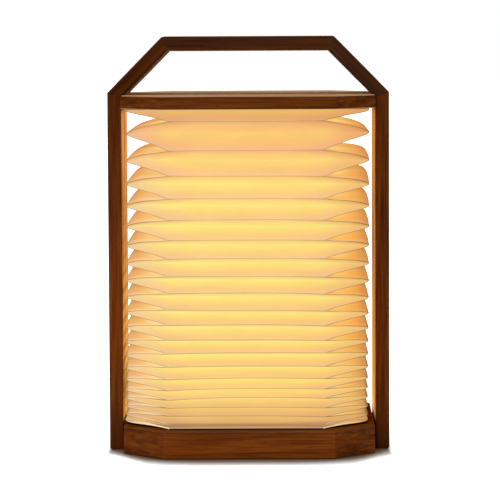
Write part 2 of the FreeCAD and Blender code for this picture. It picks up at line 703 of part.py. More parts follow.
lens_outer = cylinder("lens_outer", DIFFUSER_RADIUS, "diffuser_height", z=PLATE_TOP)
lens_round = doc.addObject("Part::Fillet", "lens_round")
lens_round.Base = lens_outer
doc.recompute()
rim = [number for number, edge in enumerate(lens_outer.Shape.Edges, start=1)
       if near(edge.CenterOfMass.z, value(PLATE_TOP) + size("diffuser_height")) and edge.Closed][0]
lens_round.Edges = [(rim, size("diffuser_round"), size("diffuser_round"))]
lens_space = cylinder("lens_space", DIFFUSER_RADIUS + " - diffuser_wall", "diffuser_height - diffuser_wall", z=PLATE_TOP)
lens_inner = doc.addObject("Part::Fillet", "lens_inner")
lens_inner.Base = lens_space
doc.recompute()
inner_rim = [number for number, edge in enumerate(lens_space.Shape.Edges, start=1)
             if edge.Closed and edge.CenterOfMass.z > value(PLATE_TOP) + size("diffuser_wall")][0]
inner_round = size("diffuser_round") - size("diffuser_wall")
lens_inner.Edges = [(inner_rim, inner_round, inner_round)]
node("light_diffuser", cut("lens_cut", lens_round, [lens_inner]))

# Wire from the light board down through the ceiling to its connector
def bent_wire(name, points, bend):
    """Makes a round wire along straight runs joined by tangent arcs.

    Args:
        name: The object's name.
        points: The route's corners.
        bend: The radius of every bend.
    """
    edges = []
    start = points[0]
    for before, corner, after in zip(points, points[1:], points[2:]):
        inward, outward = (before - corner).normalize(), (after - corner).normalize()
        half = inward.getAngle(outward) / 2
        leave, join = corner + inward * (bend / math.tan(half)), corner + outward * (bend / math.tan(half))
        centre = corner + (inward + outward).normalize() * (bend / math.sin(half))
        middle = centre + (corner - centre).normalize() * bend
        edges += [Part.LineSegment(start, leave).toShape(), Part.Arc(leave, middle, join).toShape()]
        start = join
    edges.append(Part.LineSegment(start, points[-1]).toShape())
    path = Part.Wire(edges)
    ring = Part.Wire(Part.Circle(points[0], points[1] - points[0], size("wire_radius")).toShape())
    wire = doc.addObject("Part::Feature", name)
    wire.Shape = path.makePipeShell([ring], True, False)
    return wire


lead_y, wire_z = value(LEAD_Y), size("wire_height")
node("light_lead", bent_wire("light_wire", [FreeCAD.Vector(0, lead_y, value(LED_TOP)),
                                            FreeCAD.Vector(0, lead_y, wire_z),
                                            FreeCAD.Vector(0, value(PCB_Y), wire_z)], size("wire_bend")))

# Card frames that carry the paper, glued to it and screwed to the wood
def card_frame(name, half_x, half_y, thickness, z):
    """Makes a flat rectangular frame of card."""
    outer_x, outer_y = "(%s - card_margin)" % half_x, "(%s - card_margin)" % half_y
    sheet_card = box(name + "_sheet", "2*" + outer_x, "2*" + outer_y, thickness,
                     x="-shade_shift - " + outer_x, y="-" + outer_y, z=z)
    hole = box(name + "_hole", "2*" + CARD_OPENING, "2*" + CARD_OPENING, thickness,
               x="-shade_shift - " + CARD_OPENING, y="-" + CARD_OPENING, z=z)
    return sheet_card, hole


def card_screw_set(name, z_head, way):
    """Makes the four pan head screws of a card frame."""
    screws = []
    for step_x in ("-", ""):
        for step_y in ("-", ""):
            x = "-shade_shift %s (%s - card_screw_inset)" % (step_x or "+", NARROW_X)
            y = "%s(%s - card_screw_inset)" % (step_y, NARROW_Y)
            number = len(screws)
            thickness = "lower_card" if way == "down" else "upper_card"
            if way == "down":
                shank = cylinder("%s_shank_%d" % (name, number), "card_screw_radius", thickness + " + card_screw_bite",
                                 x=x, y=y, z="%s - card_screw_bite - %s" % (z_head, thickness))
                head = cylinder("%s_head_%d" % (name, number), "card_screw_head", "card_screw_head_height",
                                x=x, y=y, z=z_head)
            else:
                shank = cylinder("%s_shank_%d" % (name, number), "card_screw_radius", thickness + " + card_screw_bite",
                                 x=x, y=y, z=z_head)
                head = cylinder("%s_head_%d" % (name, number), "card_screw_head", "card_screw_head_height",
                                x=x, y=y, z="%s - card_screw_head_height" % z_head)
            screws.append(fuse("%s_%d" % (name, number), [shank, head]))
    return screws


lower_screws = card_screw_set("lower_screw", SHADE_FOOT, "down")
upper_screws = card_screw_set("upper_screw", SHADE_HEAD, "up")
card, hole = card_frame("lower", NARROW_X, SHADE_HALF_Y, "lower_card", "base_top_height")
node("lower_card_frame", cut("lower_card_cut", card, [hole] + lower_screws))
card, hole = card_frame("upper", SHADE_HALF_X, NARROW_Y, "upper_card", SHADE_HEAD)
node("upper_card_frame", cut("upper_card_cut", card, [hole] + upper_screws))
node("lower_card_screws", group("lower_screw_group", lower_screws))
node("upper_card_screws", group("upper_screw_group", upper_screws))

panel_room = [panel_seat, window, lead_hole]
node("base_block", cut("base_cut", base, panel_room + list(screw_rods.values()) + cover_shanks
                       + pcb_screws + plate_screws + lower_screws))


# Shade: a paper bellows. Its outline alternates between a rectangle that is
# deep from front to back and one that is wide, and four flat trapezoids lead
# from each to the next, so every corner folds along a slanted line.
def fold_levels():
    """Lists the outer rectangles of the folds from the top down.

    Returns:
        Tuples of half width, half depth and height.
    """
    low, high = value(SHADE_FOOT), value(SHADE_HEAD)
    half_x, half_y = value(SHADE_HALF_X), value(SHADE_HALF_Y)
    pleat = size("pleat_width")
    wide = (half_x, half_y - pleat)
    deep = (half_x - pleat, half_y)
    heights = [low + share * (high - low) for share in FRONT_FOLD_SHARES]
    levels = [wide + (high,)]
    for number, height in enumerate(heights):
        levels.append(deep + (height,))
        if number + 1 < len(heights):
            levels.append(wide + ((height + heights[number + 1]) / 2,))
    return levels


def paper_shell(levels, thickness, pleat):
    """Builds the closed solid of the paper from its fold rectangles.

    Args:
        levels: Half width, half depth and height of each fold rectangle.
        thickness: The paper's thickness.
        pleat: How far each pleat reaches in.
    """
    def corners(half_x, half_y, height):
        return [FreeCAD.Vector(x, y, height) for x, y in ((-half_x, -half_y), (half_x, -half_y),
                                                          (half_x, half_y), (-half_x, half_y))]

    steps = [high[2] - low[2] for high, low in zip(levels, levels[1:])]
    insets = []
    for number in range(len(levels)):
        beside = steps[max(number - 1, 0):number + 1] or steps[-1:]
        drop = sum(beside) / len(beside)
        insets.append(thickness * math.hypot(drop, pleat) / drop)
    outer = [corners(*level) for level in levels]
    inner = [corners(half_x - inset, half_y - inset, height)
             for (half_x, half_y, height), inset in zip(levels, insets)]
    faces = []

    def face(*points):
        faces.append(Part.Face(Part.makePolygon(list(points) + [points[0]])))

    for skin in (outer, inner):
        for above, below in zip(skin, skin[1:]):
            for side in range(4):
                following = (side + 1) % 4
                face(above[side], above[following], below[following], below[side])
    for rim in (0, -1):
        for side in range(4):
            following = (side + 1) % 4
            face(outer[rim][side], outer[rim][following], inner[rim][following], inner[rim][side])
    solid = Part.makeSolid(Part.makeShell(faces))
    return solid if solid.Volume > 0 else solid.reversed()


shade = doc.addObject("Part::Feature", "shade_paper")
shade.Shape = paper_shell(fold_levels(), size("paper_thickness"), size("pleat_width"))
shade.Placement = FreeCAD.Placement(FreeCAD.Vector(-size("shade_shift"), 0, 0), FreeCAD.Rotation())
node("shade_bellows", shade)

# Top board: same outline as the base, seated under the braces at its highest
top = doc.addObject("PartDesign::Body", "top_body")
pad(top, sketch(top, "XY_Plane", [octagon(BOARD_HALF, "(base_depth/2)", "corner_cut")], height=BOARD_UNDER),
    "board_thickness")
soften(top, "board_round", lambda first, second: near(first.z, second.z))
SEAT_RUN = "((%s - %s + seat_clearance)*%s/%s)" % (BOARD_TOP, SEAT_Z, RUN, RISE)
notches = [[("%s(%s - %s)" % (sign, INNER_X, SEAT_RUN), BOARD_TOP), (sign + INNER_X, BOARD_TOP),
            (sign + INNER_X, "%s - seat_clearance" % SEAT_Z)] for sign in ("-", "")]
pocket(top, sketch(top, "XZ_Plane", notches), "frame_depth + 2*fit_gap", both_ways=True)

pins = []
magnets = []
for side, sign, way in (("left", "-", "-X"), ("right", "", "X")):
    pins.append(cylinder(side + "_pin", "pin_radius", "pin_length",
                         x="%s(%s + pin_reach - pin_length)" % (sign, INNER_X), z=PIN_Z, along=way))
    for place, step in (("front", "-"), ("back", "")):
        magnets.append(cylinder("%s_%s_magnet" % (side, place), "magnet_radius", "magnet_thickness",
                                x="%s(%s - magnet_thickness)" % (sign, BOARD_HALF), y=step + "magnet_span",
                                z=PIN_Z, along=way))
node("guide_pins", group("pin_group", pins))
node("board_magnets", group("magnet_group", magnets))
node("top_board", cut("top_cut", top, pins + magnets + upper_screws))

doc.recompute()
doc.removeObject("probe")
doc.recompute()

for obj in doc.Objects:
    if "Invalid" in obj.State or "Error" in obj.State:
        raise RuntimeError("%s failed: %s" % (obj.Label, obj.State))
for obj in nodes:
    if obj.Shape.isNull() or not obj.Shape.isValid() or not obj.Shape.Solids:
        raise RuntimeError("%s has no valid solid" % obj.Label)

os.makedirs("parts", exist_ok=True)
for obj in nodes:
    obj.Shape.exportStep("parts/%s.step" % obj.Label)
    print(obj.Label, len(obj.Shape.Solids), round(obj.Shape.Volume, 1))
print(len(nodes), "nodes")
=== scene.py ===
import logging
import math
from dataclasses import dataclass, field
from enum import Enum
from typing import Any, Callable, NamedTuple, Optional, Sequence

import bmesh
import bpy
from mathutils import Matrix, Vector


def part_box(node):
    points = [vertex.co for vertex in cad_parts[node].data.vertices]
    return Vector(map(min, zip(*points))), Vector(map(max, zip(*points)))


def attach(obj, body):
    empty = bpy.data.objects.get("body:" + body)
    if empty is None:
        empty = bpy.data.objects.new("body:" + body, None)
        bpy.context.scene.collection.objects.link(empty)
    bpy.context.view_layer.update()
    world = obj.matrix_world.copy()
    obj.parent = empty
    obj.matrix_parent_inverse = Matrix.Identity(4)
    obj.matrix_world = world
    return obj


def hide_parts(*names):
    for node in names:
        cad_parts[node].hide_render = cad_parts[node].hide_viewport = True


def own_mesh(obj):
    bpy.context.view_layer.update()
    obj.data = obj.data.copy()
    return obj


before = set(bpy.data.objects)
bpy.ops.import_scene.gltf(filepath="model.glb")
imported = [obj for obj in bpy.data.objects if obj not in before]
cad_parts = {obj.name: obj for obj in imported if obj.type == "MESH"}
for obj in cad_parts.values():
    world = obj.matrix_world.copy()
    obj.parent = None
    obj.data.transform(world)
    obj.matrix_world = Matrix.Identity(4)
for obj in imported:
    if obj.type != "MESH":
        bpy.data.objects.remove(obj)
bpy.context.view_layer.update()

LOG = logging.getLogger("table_lamp")

Triple = tuple[float, float, float]
Colour = Triple
Row = tuple[float, ...]
Stops = tuple[tuple[float, Colour], ...]

ZERO: Triple = (0, 0, 0)
WHITE: Colour = (1, 1, 1)
BLACK: Colour = ZERO
MILLIMETRE = 0.001
# The height and the width that the colour ramps span, in metres
RAMP_HEIGHT = 0.3
RAMP_WIDTH = 0.18
# UV maps hold lengths in tenths of a metre, and the seam ramps span 20 mm
UV_PER_METRE = 10
SEAM_SPAN = 0.02


def srgb(*values: float) -> Colour:
    """Turns a colour read as eight-bit values into the linear one that a shader takes."""
    shares = [value / 255 for value in values]
    return tuple(share / 12.92 if share <= 0.04045 else ((share + 0.055) / 1.055) ** 2.4 for share in shares)


def dimmed(colour: Colour, share: float) -> Colour:
    """Gives a share of a colour."""
    return tuple(channel * share for channel in colour)


def greys(*pairs: tuple[float, float]) -> Stops:
    """Turns pairs of a place and a value into grey stops."""
    return tuple((place, (value, value, value)) for place, value in pairs)


def maths(operation: str, swapped: bool = False) -> Callable[["Term", Any], "Term"]:
    """Makes a method of Term that adds one Math node, with the other value first if swapped."""
    return lambda term, other: term.graph.node(
        "ShaderNodeMath", {"operation": operation}, dict(enumerate((other, term) if swapped else (term, other))))


@dataclass
class Term:
    """A shader value: one output socket that can be used in Python sums."""

    graph: "Graph"
    socket: Any

    __add__ = __radd__ = maths("ADD")
    __sub__ = maths("SUBTRACT")
    __rsub__ = maths("SUBTRACT", swapped=True)
    __mul__ = __rmul__ = maths("MULTIPLY")
    __truediv__ = maths("DIVIDE")
    __pow__ = maths("POWER")
    least = maths("MINIMUM")
    most = maths("MAXIMUM")

    def __abs__(self) -> "Term":
        """Gives the size without the sign."""
        return self.graph.node("ShaderNodeMath", {"operation": "ABSOLUTE"}, {0: self})

    def rise(self, start: float, end: float) -> "Term":
        """Gives a smooth step from 0 at the start to 1 at the end, which may be the smaller value."""
        low, high, first, last = (start, end, 0, 1) if start < end else (end, start, 1, 0)
        return self.graph.node("ShaderNodeMapRange", {"interpolation_type": "SMOOTHSTEP"},
                               {"Value": self, "From Min": low, "From Max": high, "To Min": first, "To Max": last})


class Graph:
    """The node tree of one material or of the world."""

    def __init__(self, tree: Any) -> None:
        """Starts from an empty tree."""
        self.tree = tree
        tree.nodes.clear()

    def node(self, kind: str, settings: Optional[dict[str, Any]] = None,
             inputs: Optional[dict[Any, Any]] = None, output: Any = 0) -> Term:
        """Adds one node.

        Args:
            kind: The node's type.
            settings: Its properties, which are set first. A list of stops makes a ramp.
            inputs: Values or terms for its sockets, by name or number.
            output: The output to return, by name or number.

        Returns:
            The chosen output.
        """
        made = self.tree.nodes.new(kind)
        for name, value in (settings or {}).items():
            if name == "stops":
                ramp = made.color_ramp.elements
                while len(ramp) < len(value):
                    ramp.new(0.5)
                for element, (place, colour) in zip(ramp, value):
                    element.position = place
                    element.color = (*colour, 1)
            else:
                setattr(made, name, value)
        for name, value in (inputs or {}).items():
            socket = made.inputs[name]
            if isinstance(value, Term):
                self.tree.links.new(value.socket, socket)
            elif isinstance(value, tuple) and socket.type == "RGBA":
                socket.default_value = (*value, 1)
            else:
                socket.default_value = value
        return Term(self, made.outputs[output])

    def other(self, term: Term, output: Any) -> Term:
        """Gives another output of the node that a term comes from."""
        return Term(self, term.socket.node.outputs[output])

    def mix(self, share: Any, first: Any, second: Any, way: str = "MIX") -> Term:
        """Mixes a share of the second colour into the first, by a blend type."""
        return self.node("ShaderNodeMix", {"data_type": "RGBA", "blend_type": way},
                         {0: share, 6: first, 7: second}, 2)

    def times(self, first: Any, second: Any) -> Term:
        """Multiplies two colours."""
        return self.mix(1, first, second, "MULTIPLY")

    def scaled(self, colour: Any, share: Any) -> Term:
        """Multiplies a colour or a vector by one value."""
        return self.node("ShaderNodeVectorMath", {"operation": "SCALE"}, {0: colour, "Scale": share})

    def ramp(self, stops: Stops, value: Term) -> Term:
        """Turns a value into a colour through the given stops."""
        return self.node("ShaderNodeValToRGB", {"stops": stops}, {0: value})

    def split(self, vector: Term) -> tuple[Term, Term, Term]:
        """Takes a vector or a colour apart."""
        parts = self.node("ShaderNodeSeparateXYZ", inputs={0: vector})
        return parts, self.other(parts, 1), self.other(parts, 2)

    def uv(self, name: str) -> tuple[Term, Term]:
        """Reads a UV map as two values."""
        return self.split(self.node("ShaderNodeUVMap", {"uv_map": name}))[:2]

    def place(self) -> tuple[Term, Term, Term, Term]:
        """Reads the object coordinates as a vector and three values."""
        coordinates = self.node("ShaderNodeTexCoord", output="Object")
        return (coordinates, *self.split(coordinates))

    def shelter(self, samples: int, reach: float) -> Term:
        """Gives 1 in the open, and less where other surfaces are within reach."""
        return self.node("ShaderNodeAmbientOcclusion", {"samples": samples}, {"Distance": reach}, "AO")

    def noise(self, vector: Any, scale: float = 1.0, detail: float = 2.0, roughness: float = 0.5) -> Term:
        """Adds a noise pattern that varies between 0 and 1."""
        return self.node("ShaderNodeTexNoise", inputs={"Vector": vector, "Scale": scale, "Detail": detail,
                                                       "Roughness": roughness})

    def stretch(self, vector: Term, scale: Triple, turn: Triple = ZERO, shift: Triple = ZERO) -> Term:
        """Turns and then stretches a vector."""
        turned = self.node("ShaderNodeMapping", inputs={"Vector": vector, "Rotation": turn})
        return self.node("ShaderNodeMapping", inputs={"Vector": turned, "Scale": scale, "Location": shift})

    def shader(self, inputs: dict[str, Any], bump: Optional[Term] = None, depth: float = 0.0,
               strength: float = 0.3) -> None:
        """Adds the surface shader and joins it to the output.

        Args:
            inputs: Values and terms for the shader's sockets.
            bump: A height pattern.
            depth: The height of the pattern in metres.
            strength: How strongly the pattern shows.
        """
        if bump is not None:
            inputs["Normal"] = self.node("ShaderNodeBump", inputs={
                "Strength": strength, "Distance": depth, "Height": bump})
        self.show(self.node("ShaderNodeBsdfPrincipled", inputs=inputs))

    def show(self, surface: Term, kind: str = "Material") -> None:
        """Joins a shader to the output of the material or the world."""
        made = self.tree.nodes.new("ShaderNodeOutput" + kind)
        self.tree.links.new(surface.socket, made.inputs["Surface"])


class Grain(Enum):
    """The way the wood's grain runs on a piece, as turns that bring it to X."""

    ACROSS = (0, 0, 0)
    UPWARD = (0, math.radians(90), 0)
    RISING = (0, math.radians(45), 0)
    FALLING = (0, math.radians(-45), 0)


@dataclass(frozen=True)
class Finish:
    """A surface finish, made into a material once."""

    name: str

    def material(self) -> bpy.types.Material:
        """Gives the finish's material, and makes it the first time.

        Returns:
            The material.
        """
        made = bpy.data.materials.get(self.name)
        if made is None:
            made = bpy.data.materials.new(self.name)
            made.use_nodes = True
            self.dress(Graph(made.node_tree))
        return made

    def dress(self, graph: Graph) -> None:
        """Builds the node tree."""
        raise NotImplementedError


@dataclass(frozen=True)
class Walnut(Finish):
    """Oiled dark walnut: long fibres, darker rings and fine open pores."""

    grain: Grain = Grain.ACROSS
    seed: float = 0.0
    tone: float = 1.0
    # Painted shade along the height: how much darker the wood is drawn, from the floor up
    height_shade: Stops = greys((0, 1), (1, 1))
    dark: Colour = (0.052, 0.0112, 0.0012)
    middle: Colour = (0.106, 0.0245, 0.0022)
    light: Colour = (0.172, 0.045, 0.0046)
    # The painted light on the face that the shade lights, by height, in sixths
    lit: Stops = ((0.05, (0.17, 0.33, 0.96)), (0.17, (0.16, 0.31, 0.96)), (0.48, (0.1, 0.175, 0.92)),
                  (0.77, (0.113, 0.19, 0.98)))
    lit_strength: float = 6.0
    # How strongly a painted cool sky sheen shows
    sky_sheen: float = 0.0
    sky_sheen_colour: Colour = (0.12, 0.28, 0.26)
    # The height of a painted highlight along the top edge, which has a line of painted shade above it
    edge: float = 1.0
    rim_highlight_colour: Colour = (0.14, 0.055, 0.028)
    brow_shade_colour: Colour = (0.045, 0.012, 0.002)
    # How much darker the piece's corner cuts and top are drawn, as painted shade
    cut_and_top_shade: float = 0.0
    # Above this height the top is drawn paler with a painted sheen where it is seen edge-on; sloping undersides take
    # the same pale colour as painted light
    sheen_above: float = 1.0
    pale_light: Colour = (1, 0.6, 0.33)
    # How the painted sheen changes from the front edge to the back
    sheen_depth: Stops = greys((0, 0.44), (0.2, 0.53), (0.4, 0.95), (0.6, 1), (0.75, 0.82), (1, 0.35))

    def weave(self, graph: Graph, coordinates: Term) -> tuple[Term, Term, Term, Term]:
        """Builds the wood's own pattern.

        Args:
            graph: The material's graph.
            coordinates: The object coordinates.

        Returns:
            Slow clouds, wavy bands, fine threads and open pores.
        """
        shift = (self.seed * 1.7, self.seed * 0.9, self.seed * 1.3)

        def strands(*scale: float) -> Term:
            """Stretches the coordinates along the grain."""
            return graph.stretch(coordinates, scale, self.grain.value, shift)
        slow = graph.noise(strands(4, 9, 42), 1, 3, 0.55)
        waves = graph.scaled(graph.other(slow, 1), 2.4)
        figure = graph.node("ShaderNodeVectorMath", {"operation": "ADD"}, {0: strands(7, 30, 190), 1: waves})
        bands = graph.noise(figure, 1, 4, 0.6)
        thread = graph.noise(strands(22, 160, 620), 1, 3, 0.6)
        speck = graph.noise(strands(110, 900, 1700)).rise(0.62, 0.74)
        return slow, bands, thread, speck

    def dress(self, graph: Graph) -> None:
        """Builds the grain along the piece's length, with painted light and shade over it.

        Args:
            graph: The material's graph.
        """
        coordinates, x, y, height = graph.place()
        slow, bands, thread, speck = self.weave(graph, coordinates)
        tone = (slow * 0.7 + bands * 0.9 + thread * 1.15 - 0.875).least(1).most(0)
        colour = graph.ramp(((0.2, self.dark), (0.5, self.middle), (0.85, self.light)), tone)
        fine = graph.mix(speck * 0.5, colour, dimmed(self.dark, 0.5))
        right, back, up = graph.split(graph.node("ShaderNodeNewGeometry", output="Normal"))
        level = height / RAMP_HEIGHT
        # Painted light on the faces turned to the shade, and painted shade along the height on the rest
        inner = (right * x).rise(-0.03, -0.06)
        height_shaded = graph.mix(inner, graph.ramp(self.height_shade, level),
                          graph.scaled(graph.ramp(self.lit, level), self.lit_strength))
        # Painted shade in corners and where other pieces stand close, but not near the floor
        corner = graph.shelter(6, 0.005).rise(0.35, 0.85).most(height.rise(0.013, 0.007))
        along = graph.times(graph.times(fine, height_shaded), graph.mix(corner, (0.2, 0.2, 0.2), WHITE))
        # Painted shade on the corner cuts and the top
        turned_away = abs(right * back).rise(0.3, 0.45).most(up.rise(0.8, 0.95))
        toned = graph.scaled(along, (1 - turned_away * self.cut_and_top_shade) * self.tone)
        upright = 1 - up.rise(0.6, 0.9)
        # A painted highlight along the rounded top edge, with painted shade just above it, on faces that are not tops
        rim = height.rise(self.edge, self.edge + 0.0002) * height.rise(self.edge + 0.001, self.edge + 0.0008)
        brow_shade = height.rise(self.edge + 0.0009, self.edge + 0.0012)
        rim_highlighted = graph.mix(brow_shade * upright * 0.8, graph.mix(rim * upright * 0.6, toned, self.rim_highlight_colour),
                           self.brow_shade_colour)
        # Painted light on sloping undersides, and a painted sheen on the top where it is seen edge-on
        sloping = up.rise(-0.5, -0.65) * up.rise(-0.95, -0.8)
        turned = graph.node("ShaderNodeLayerWeight", inputs={"Blend": 0.5}, output="Facing")
        sheen = height.rise(self.sheen_above, self.sheen_above + 0.0004) * turned.rise(0.55, 0.95)
        sheen_and_lit_underside = sheen.most(sloping * 0.8)
        faint = graph.ramp(self.sheen_depth, y / RAMP_WIDTH + 0.5)
        pale = graph.times(self.pale_light, graph.mix(sloping, faint, WHITE))
        sheened = graph.mix(sheen_and_lit_underside * (0.75 + bands * 0.35), rim_highlighted, pale)
        satin = (1 - turned.rise(0.45, 0.8)) * (1 - sheen_and_lit_underside) * 0.1
        # The base colour carries a painted cool sky sheen
        graph.shader({"Specular IOR Level": 0, "Coat Roughness": 0.34, "Coat IOR": 1.4, "Coat Weight": satin,
                      "Base Color": graph.mix(self.sky_sheen, sheened, self.sky_sheen_colour),
                      "Roughness": 0.46 - thread * 0.12 + speck * 0.2 + sheen_and_lit_underside * 0.5},
                     thread * 0.6 + bands * 0.3 - speck * 0.8, 0.0001, 0.4)


@dataclass(frozen=True)
class Glow:
    """Light that comes through paper, as products of colour ramps."""

    # From the foot of the shade to its head
    rows: Stops
    # From the upper to the lower edge of each panel
    panel: Stops
    # From left to right on the front and from front to back on the sides
    across: Stops
    # From a slanted fold inwards
    seam: Stops

    def colour(self, graph: Graph, height: Term, down: Term, place: Term, near: Term) -> Term:
        """Multiplies the ramps.

        Args:
            graph: The material's graph.
            height: The share of the shade's height.
            down: The share of the way down the panel.
            place: The place across, in metres from the middle.
            near: The distance from the nearest slanted fold, as a share of the ramp's span.

        Returns:
            The colour of the light.
        """
        brightest = max(channel for _, colour in self.rows for channel in colour)
        rows = tuple((stop, dimmed(colour, 1 / brightest)) for stop, colour in self.rows)
        product = graph.times(graph.ramp(rows, height), graph.ramp(self.panel, down))
        product = graph.times(product, graph.ramp(self.across, place / RAMP_WIDTH + 0.5))
        return graph.scaled(graph.times(product, graph.ramp(self.seam, near)), brightest)


@dataclass(frozen=True)
class GlowingPaper(Finish):
    """Cream paper lit from inside: bright in the valleys, rosy at the folds."""

    roof: Glow = Glow(
        ((0.02, (0.83, 0.6, 0.35)), (0.1, (0.98, 0.81, 0.42)), (0.5, (0.97, 0.8, 0.46)),
         (0.75, (0.97, 0.8, 0.46)), (0.93, (0.94, 0.65, 0.38)), (1, (1.05, 0.66, 0.33))),
        ((0, (0.98, 1, 0.84)), (0.3, (1, 0.91, 0.78)), (0.7, (0.97, 0.79, 0.78)), (1, (0.92, 0.78, 1))),
        ((0.017, (0.96, 0.85, 1)), (0.19, (0.99, 1, 0.78)), (0.81, (1, 0.97, 0.71)),
         (0.98, (0.93, 0.69, 0.56))),
        ((0, (0.89, 0.95, 1)), (0.25, (0.98, 0.92, 0.94)), (1, (1, 1, 0.9))))
    overhang: Glow = Glow(
        ((0.02, (0.95, 0.68, 0.39)), (0.1, (1.02, 0.84, 0.46)), (0.5, (1.03, 0.87, 0.43)),
         (0.75, (1.07, 0.85, 0.4)), (0.93, (1.05, 0.66, 0.36)), (1, (0.95, 0.67, 0.31))),
        ((0, (0.87, 0.72, 0.9)), (0.3, (0.97, 0.85, 0.95)), (0.7, (0.97, 0.93, 0.96)), (1, WHITE)),
        ((0.017, WHITE), (0.19, (0.94, 0.99, 0.64)), (0.81, (0.91, 0.92, 0.6)),
         (0.98, (0.88, 0.66, 0.48))),
        ((0, (0.71, 0.61, 0.5)), (0.25, (0.9, 0.84, 0.87)), (1, WHITE)))
    right_leaf: Glow = Glow(
        ((0.05, (0.94, 0.8, 0.72)), (0.3, (1.01, 0.7, 0.46)), (0.85, (0.98, 0.68, 0.5))),
        ((0, (0.93, 0.95, 1)), (0.3, (1, 1, 0.89)), (0.7, (0.96, 0.71, 0.47)), (1, (0.68, 0.44, 0.36))),
        ((0.028, (0.96, 0.8, 0.61)), (0.17, (1, 1, 0.7)), (0.27, (0.93, 0.97, 0.88)),
         (0.36, (0.84, 0.8, 0.62))),
        ((0, (0.93, 0.97, 1)), (0.25, (0.96, 0.85, 0.5)), (1, (1, 1, 0.67))))
    left_leaf: Glow = Glow(
        ((0.05, (1.01, 1.09, 1.16)), (0.3, (1.06, 1.03, 0.96)), (0.85, (0.96, 0.83, 0.65))),
        ((0, (0.96, 1, 1)), (0.3, (1, 0.91, 0.78)), (0.7, (0.95, 0.66, 0.44)), (1, (0.77, 0.56, 0.42))),
        ((0.028, (0.99, 0.76, 0.47)), (0.17, (1, 1, 0.88)), (0.27, (0.93, 0.88, 0.86)),
         (0.36, (0.84, 0.68, 0.6))),
        ((0, WHITE), (0.25, (0.95, 0.78, 0.5)), (1, (0.97, 0.89, 0.51))))
    # Painted shade where the paper meets the base, then a paler band and a darker line at the last fold, over the
    # lowest share of the height
    foot: Stops = ((0, (0.03, 0.01, 0.01)), (0.03, (0.8, 0.88, 1.3)), (0.14, (0.59, 0.54, 0.42)),
                   (0.85, (0.7, 0.77, 0.8)), (1, WHITE))
    foot_share: float = 1 / 60
    # Painted shade along the folds
    crease_shade: Colour = (0.5, 0.45, 0.36)

    def dress(self, graph: Graph) -> None:
        """Builds the glow from each point's place on its panel.

        Args:
            graph: The material's graph.
        """
        share, mountain = graph.uv("fold")
        seam, height = graph.uv("seam")
        side, upward = graph.uv("turn")
        coordinates, x, y, _ = graph.place()
        near = seam / (UV_PER_METRE * SEAM_SPAN)
        roof = graph.times(self.roof.colour(graph, height, 1 - share, x, near),
                           graph.ramp(self.foot, (height / self.foot_share).least(1)))
        front = graph.mix(upward, self.overhang.colour(graph, height, share, x, near), roof)
        flank = graph.mix(x.rise(-0.0001, 0.0001), self.left_leaf.colour(graph, height, 1 - share, y, near),
                          self.right_leaf.colour(graph, height, 1 - share, y, near))
        base = graph.mix(side, front, flank)
        # Painted shade along the mountain folds, wider lower down, and along the slanted folds
        low = (1 - height) * (1 - height)
        reach = low * upward * 0.026 + 0.0075
        fold = ((mountain / reach).rise(1, 0.27) * 0.85).most(seam.rise(0.0085, 0.0025)) * height.rise(0.011, 0.016)
        fibre = graph.noise(graph.stretch(coordinates, (160, 160, 420)), detail=4, roughness=0.6)
        cloud = graph.noise(graph.stretch(coordinates, (34, 34, 80)))
        toned = graph.scaled(graph.mix(fold, base, graph.times(base, self.crease_shade)),
                             (fibre * 0.07 + cloud * 0.11 + 0.91) * 0.8)
        graph.shader({"Roughness": 0.85, "Specular IOR Level": 0.06, "Emission Strength": 1,
                      "Base Color": graph.mix(0.7, toned, BLACK), "Emission Color": toned}, fibre, 0.0001, 0.2)


@dataclass(frozen=True)
class Card(Finish):
    """Matt cream card."""

    colour: Colour = srgb(224, 200, 160)

    def dress(self, graph: Graph) -> None:
        """Builds a felted, slightly mottled surface.

        Args:
            graph: The material's graph.
        """
        felt = graph.noise(graph.place()[0], 900, 4, 0.6)
        colour = graph.mix(felt * 0.3, self.colour, dimmed(self.colour, 0.75))
        graph.shader({"Specular IOR Level": 0.1, "Base Color": colour, "Roughness": 0.78 + felt * 0.15},
                     felt, 0.00005)


@dataclass(frozen=True)
class Moulded(Finish):
    """Moulded plastic or rubber with a fine spark texture."""

    colour: Colour = (0.02, 0.02, 0.02)
    rough: float = 0.5
    texture: float = 1400.0
    depth: float = 0.00004
    shine: float = 0.4

    def dress(self, graph: Graph) -> None:
        """Builds the texture and its slight change of tone.

        Args:
            graph: The material's graph.
        """
        coordinates = graph.place()[0]
        spark = graph.noise(coordinates, self.texture, 3, 0.6)
        cloud = graph.noise(coordinates, 35)
        colour = graph.mix(cloud * 0.35, self.colour, dimmed(self.colour, 0.7))
        graph.shader({"Specular IOR Level": self.shine, "Base Color": colour,
                      "Roughness": self.rough + spark * 0.16 - cloud * 0.06}, spark, self.depth, 0.35)


@dataclass(frozen=True)
class Metal(Finish):
    """Plain or plated metal with fine turning or rolling marks."""

    colour: Colour = (0.6, 0.6, 0.6)
    rough: float = 0.3
    marks: Triple = (300, 300, 2600)

    def dress(self, graph: Graph) -> None:
        """Builds the marks and a faint tarnish.

        Args:
            graph: The material's graph.
        """
        coordinates = graph.place()[0]
        lines = graph.noise(graph.stretch(coordinates, self.marks))
        dull = graph.noise(coordinates, 60, 3, 0.6)
        colour = graph.mix(dull * 0.4, self.colour, dimmed(self.colour, 0.72))
        graph.shader({"Metallic": 1, "Base Color": colour, "Roughness": self.rough + lines * 0.14 + dull * 0.08},
                     lines, 0.00003, 0.2)


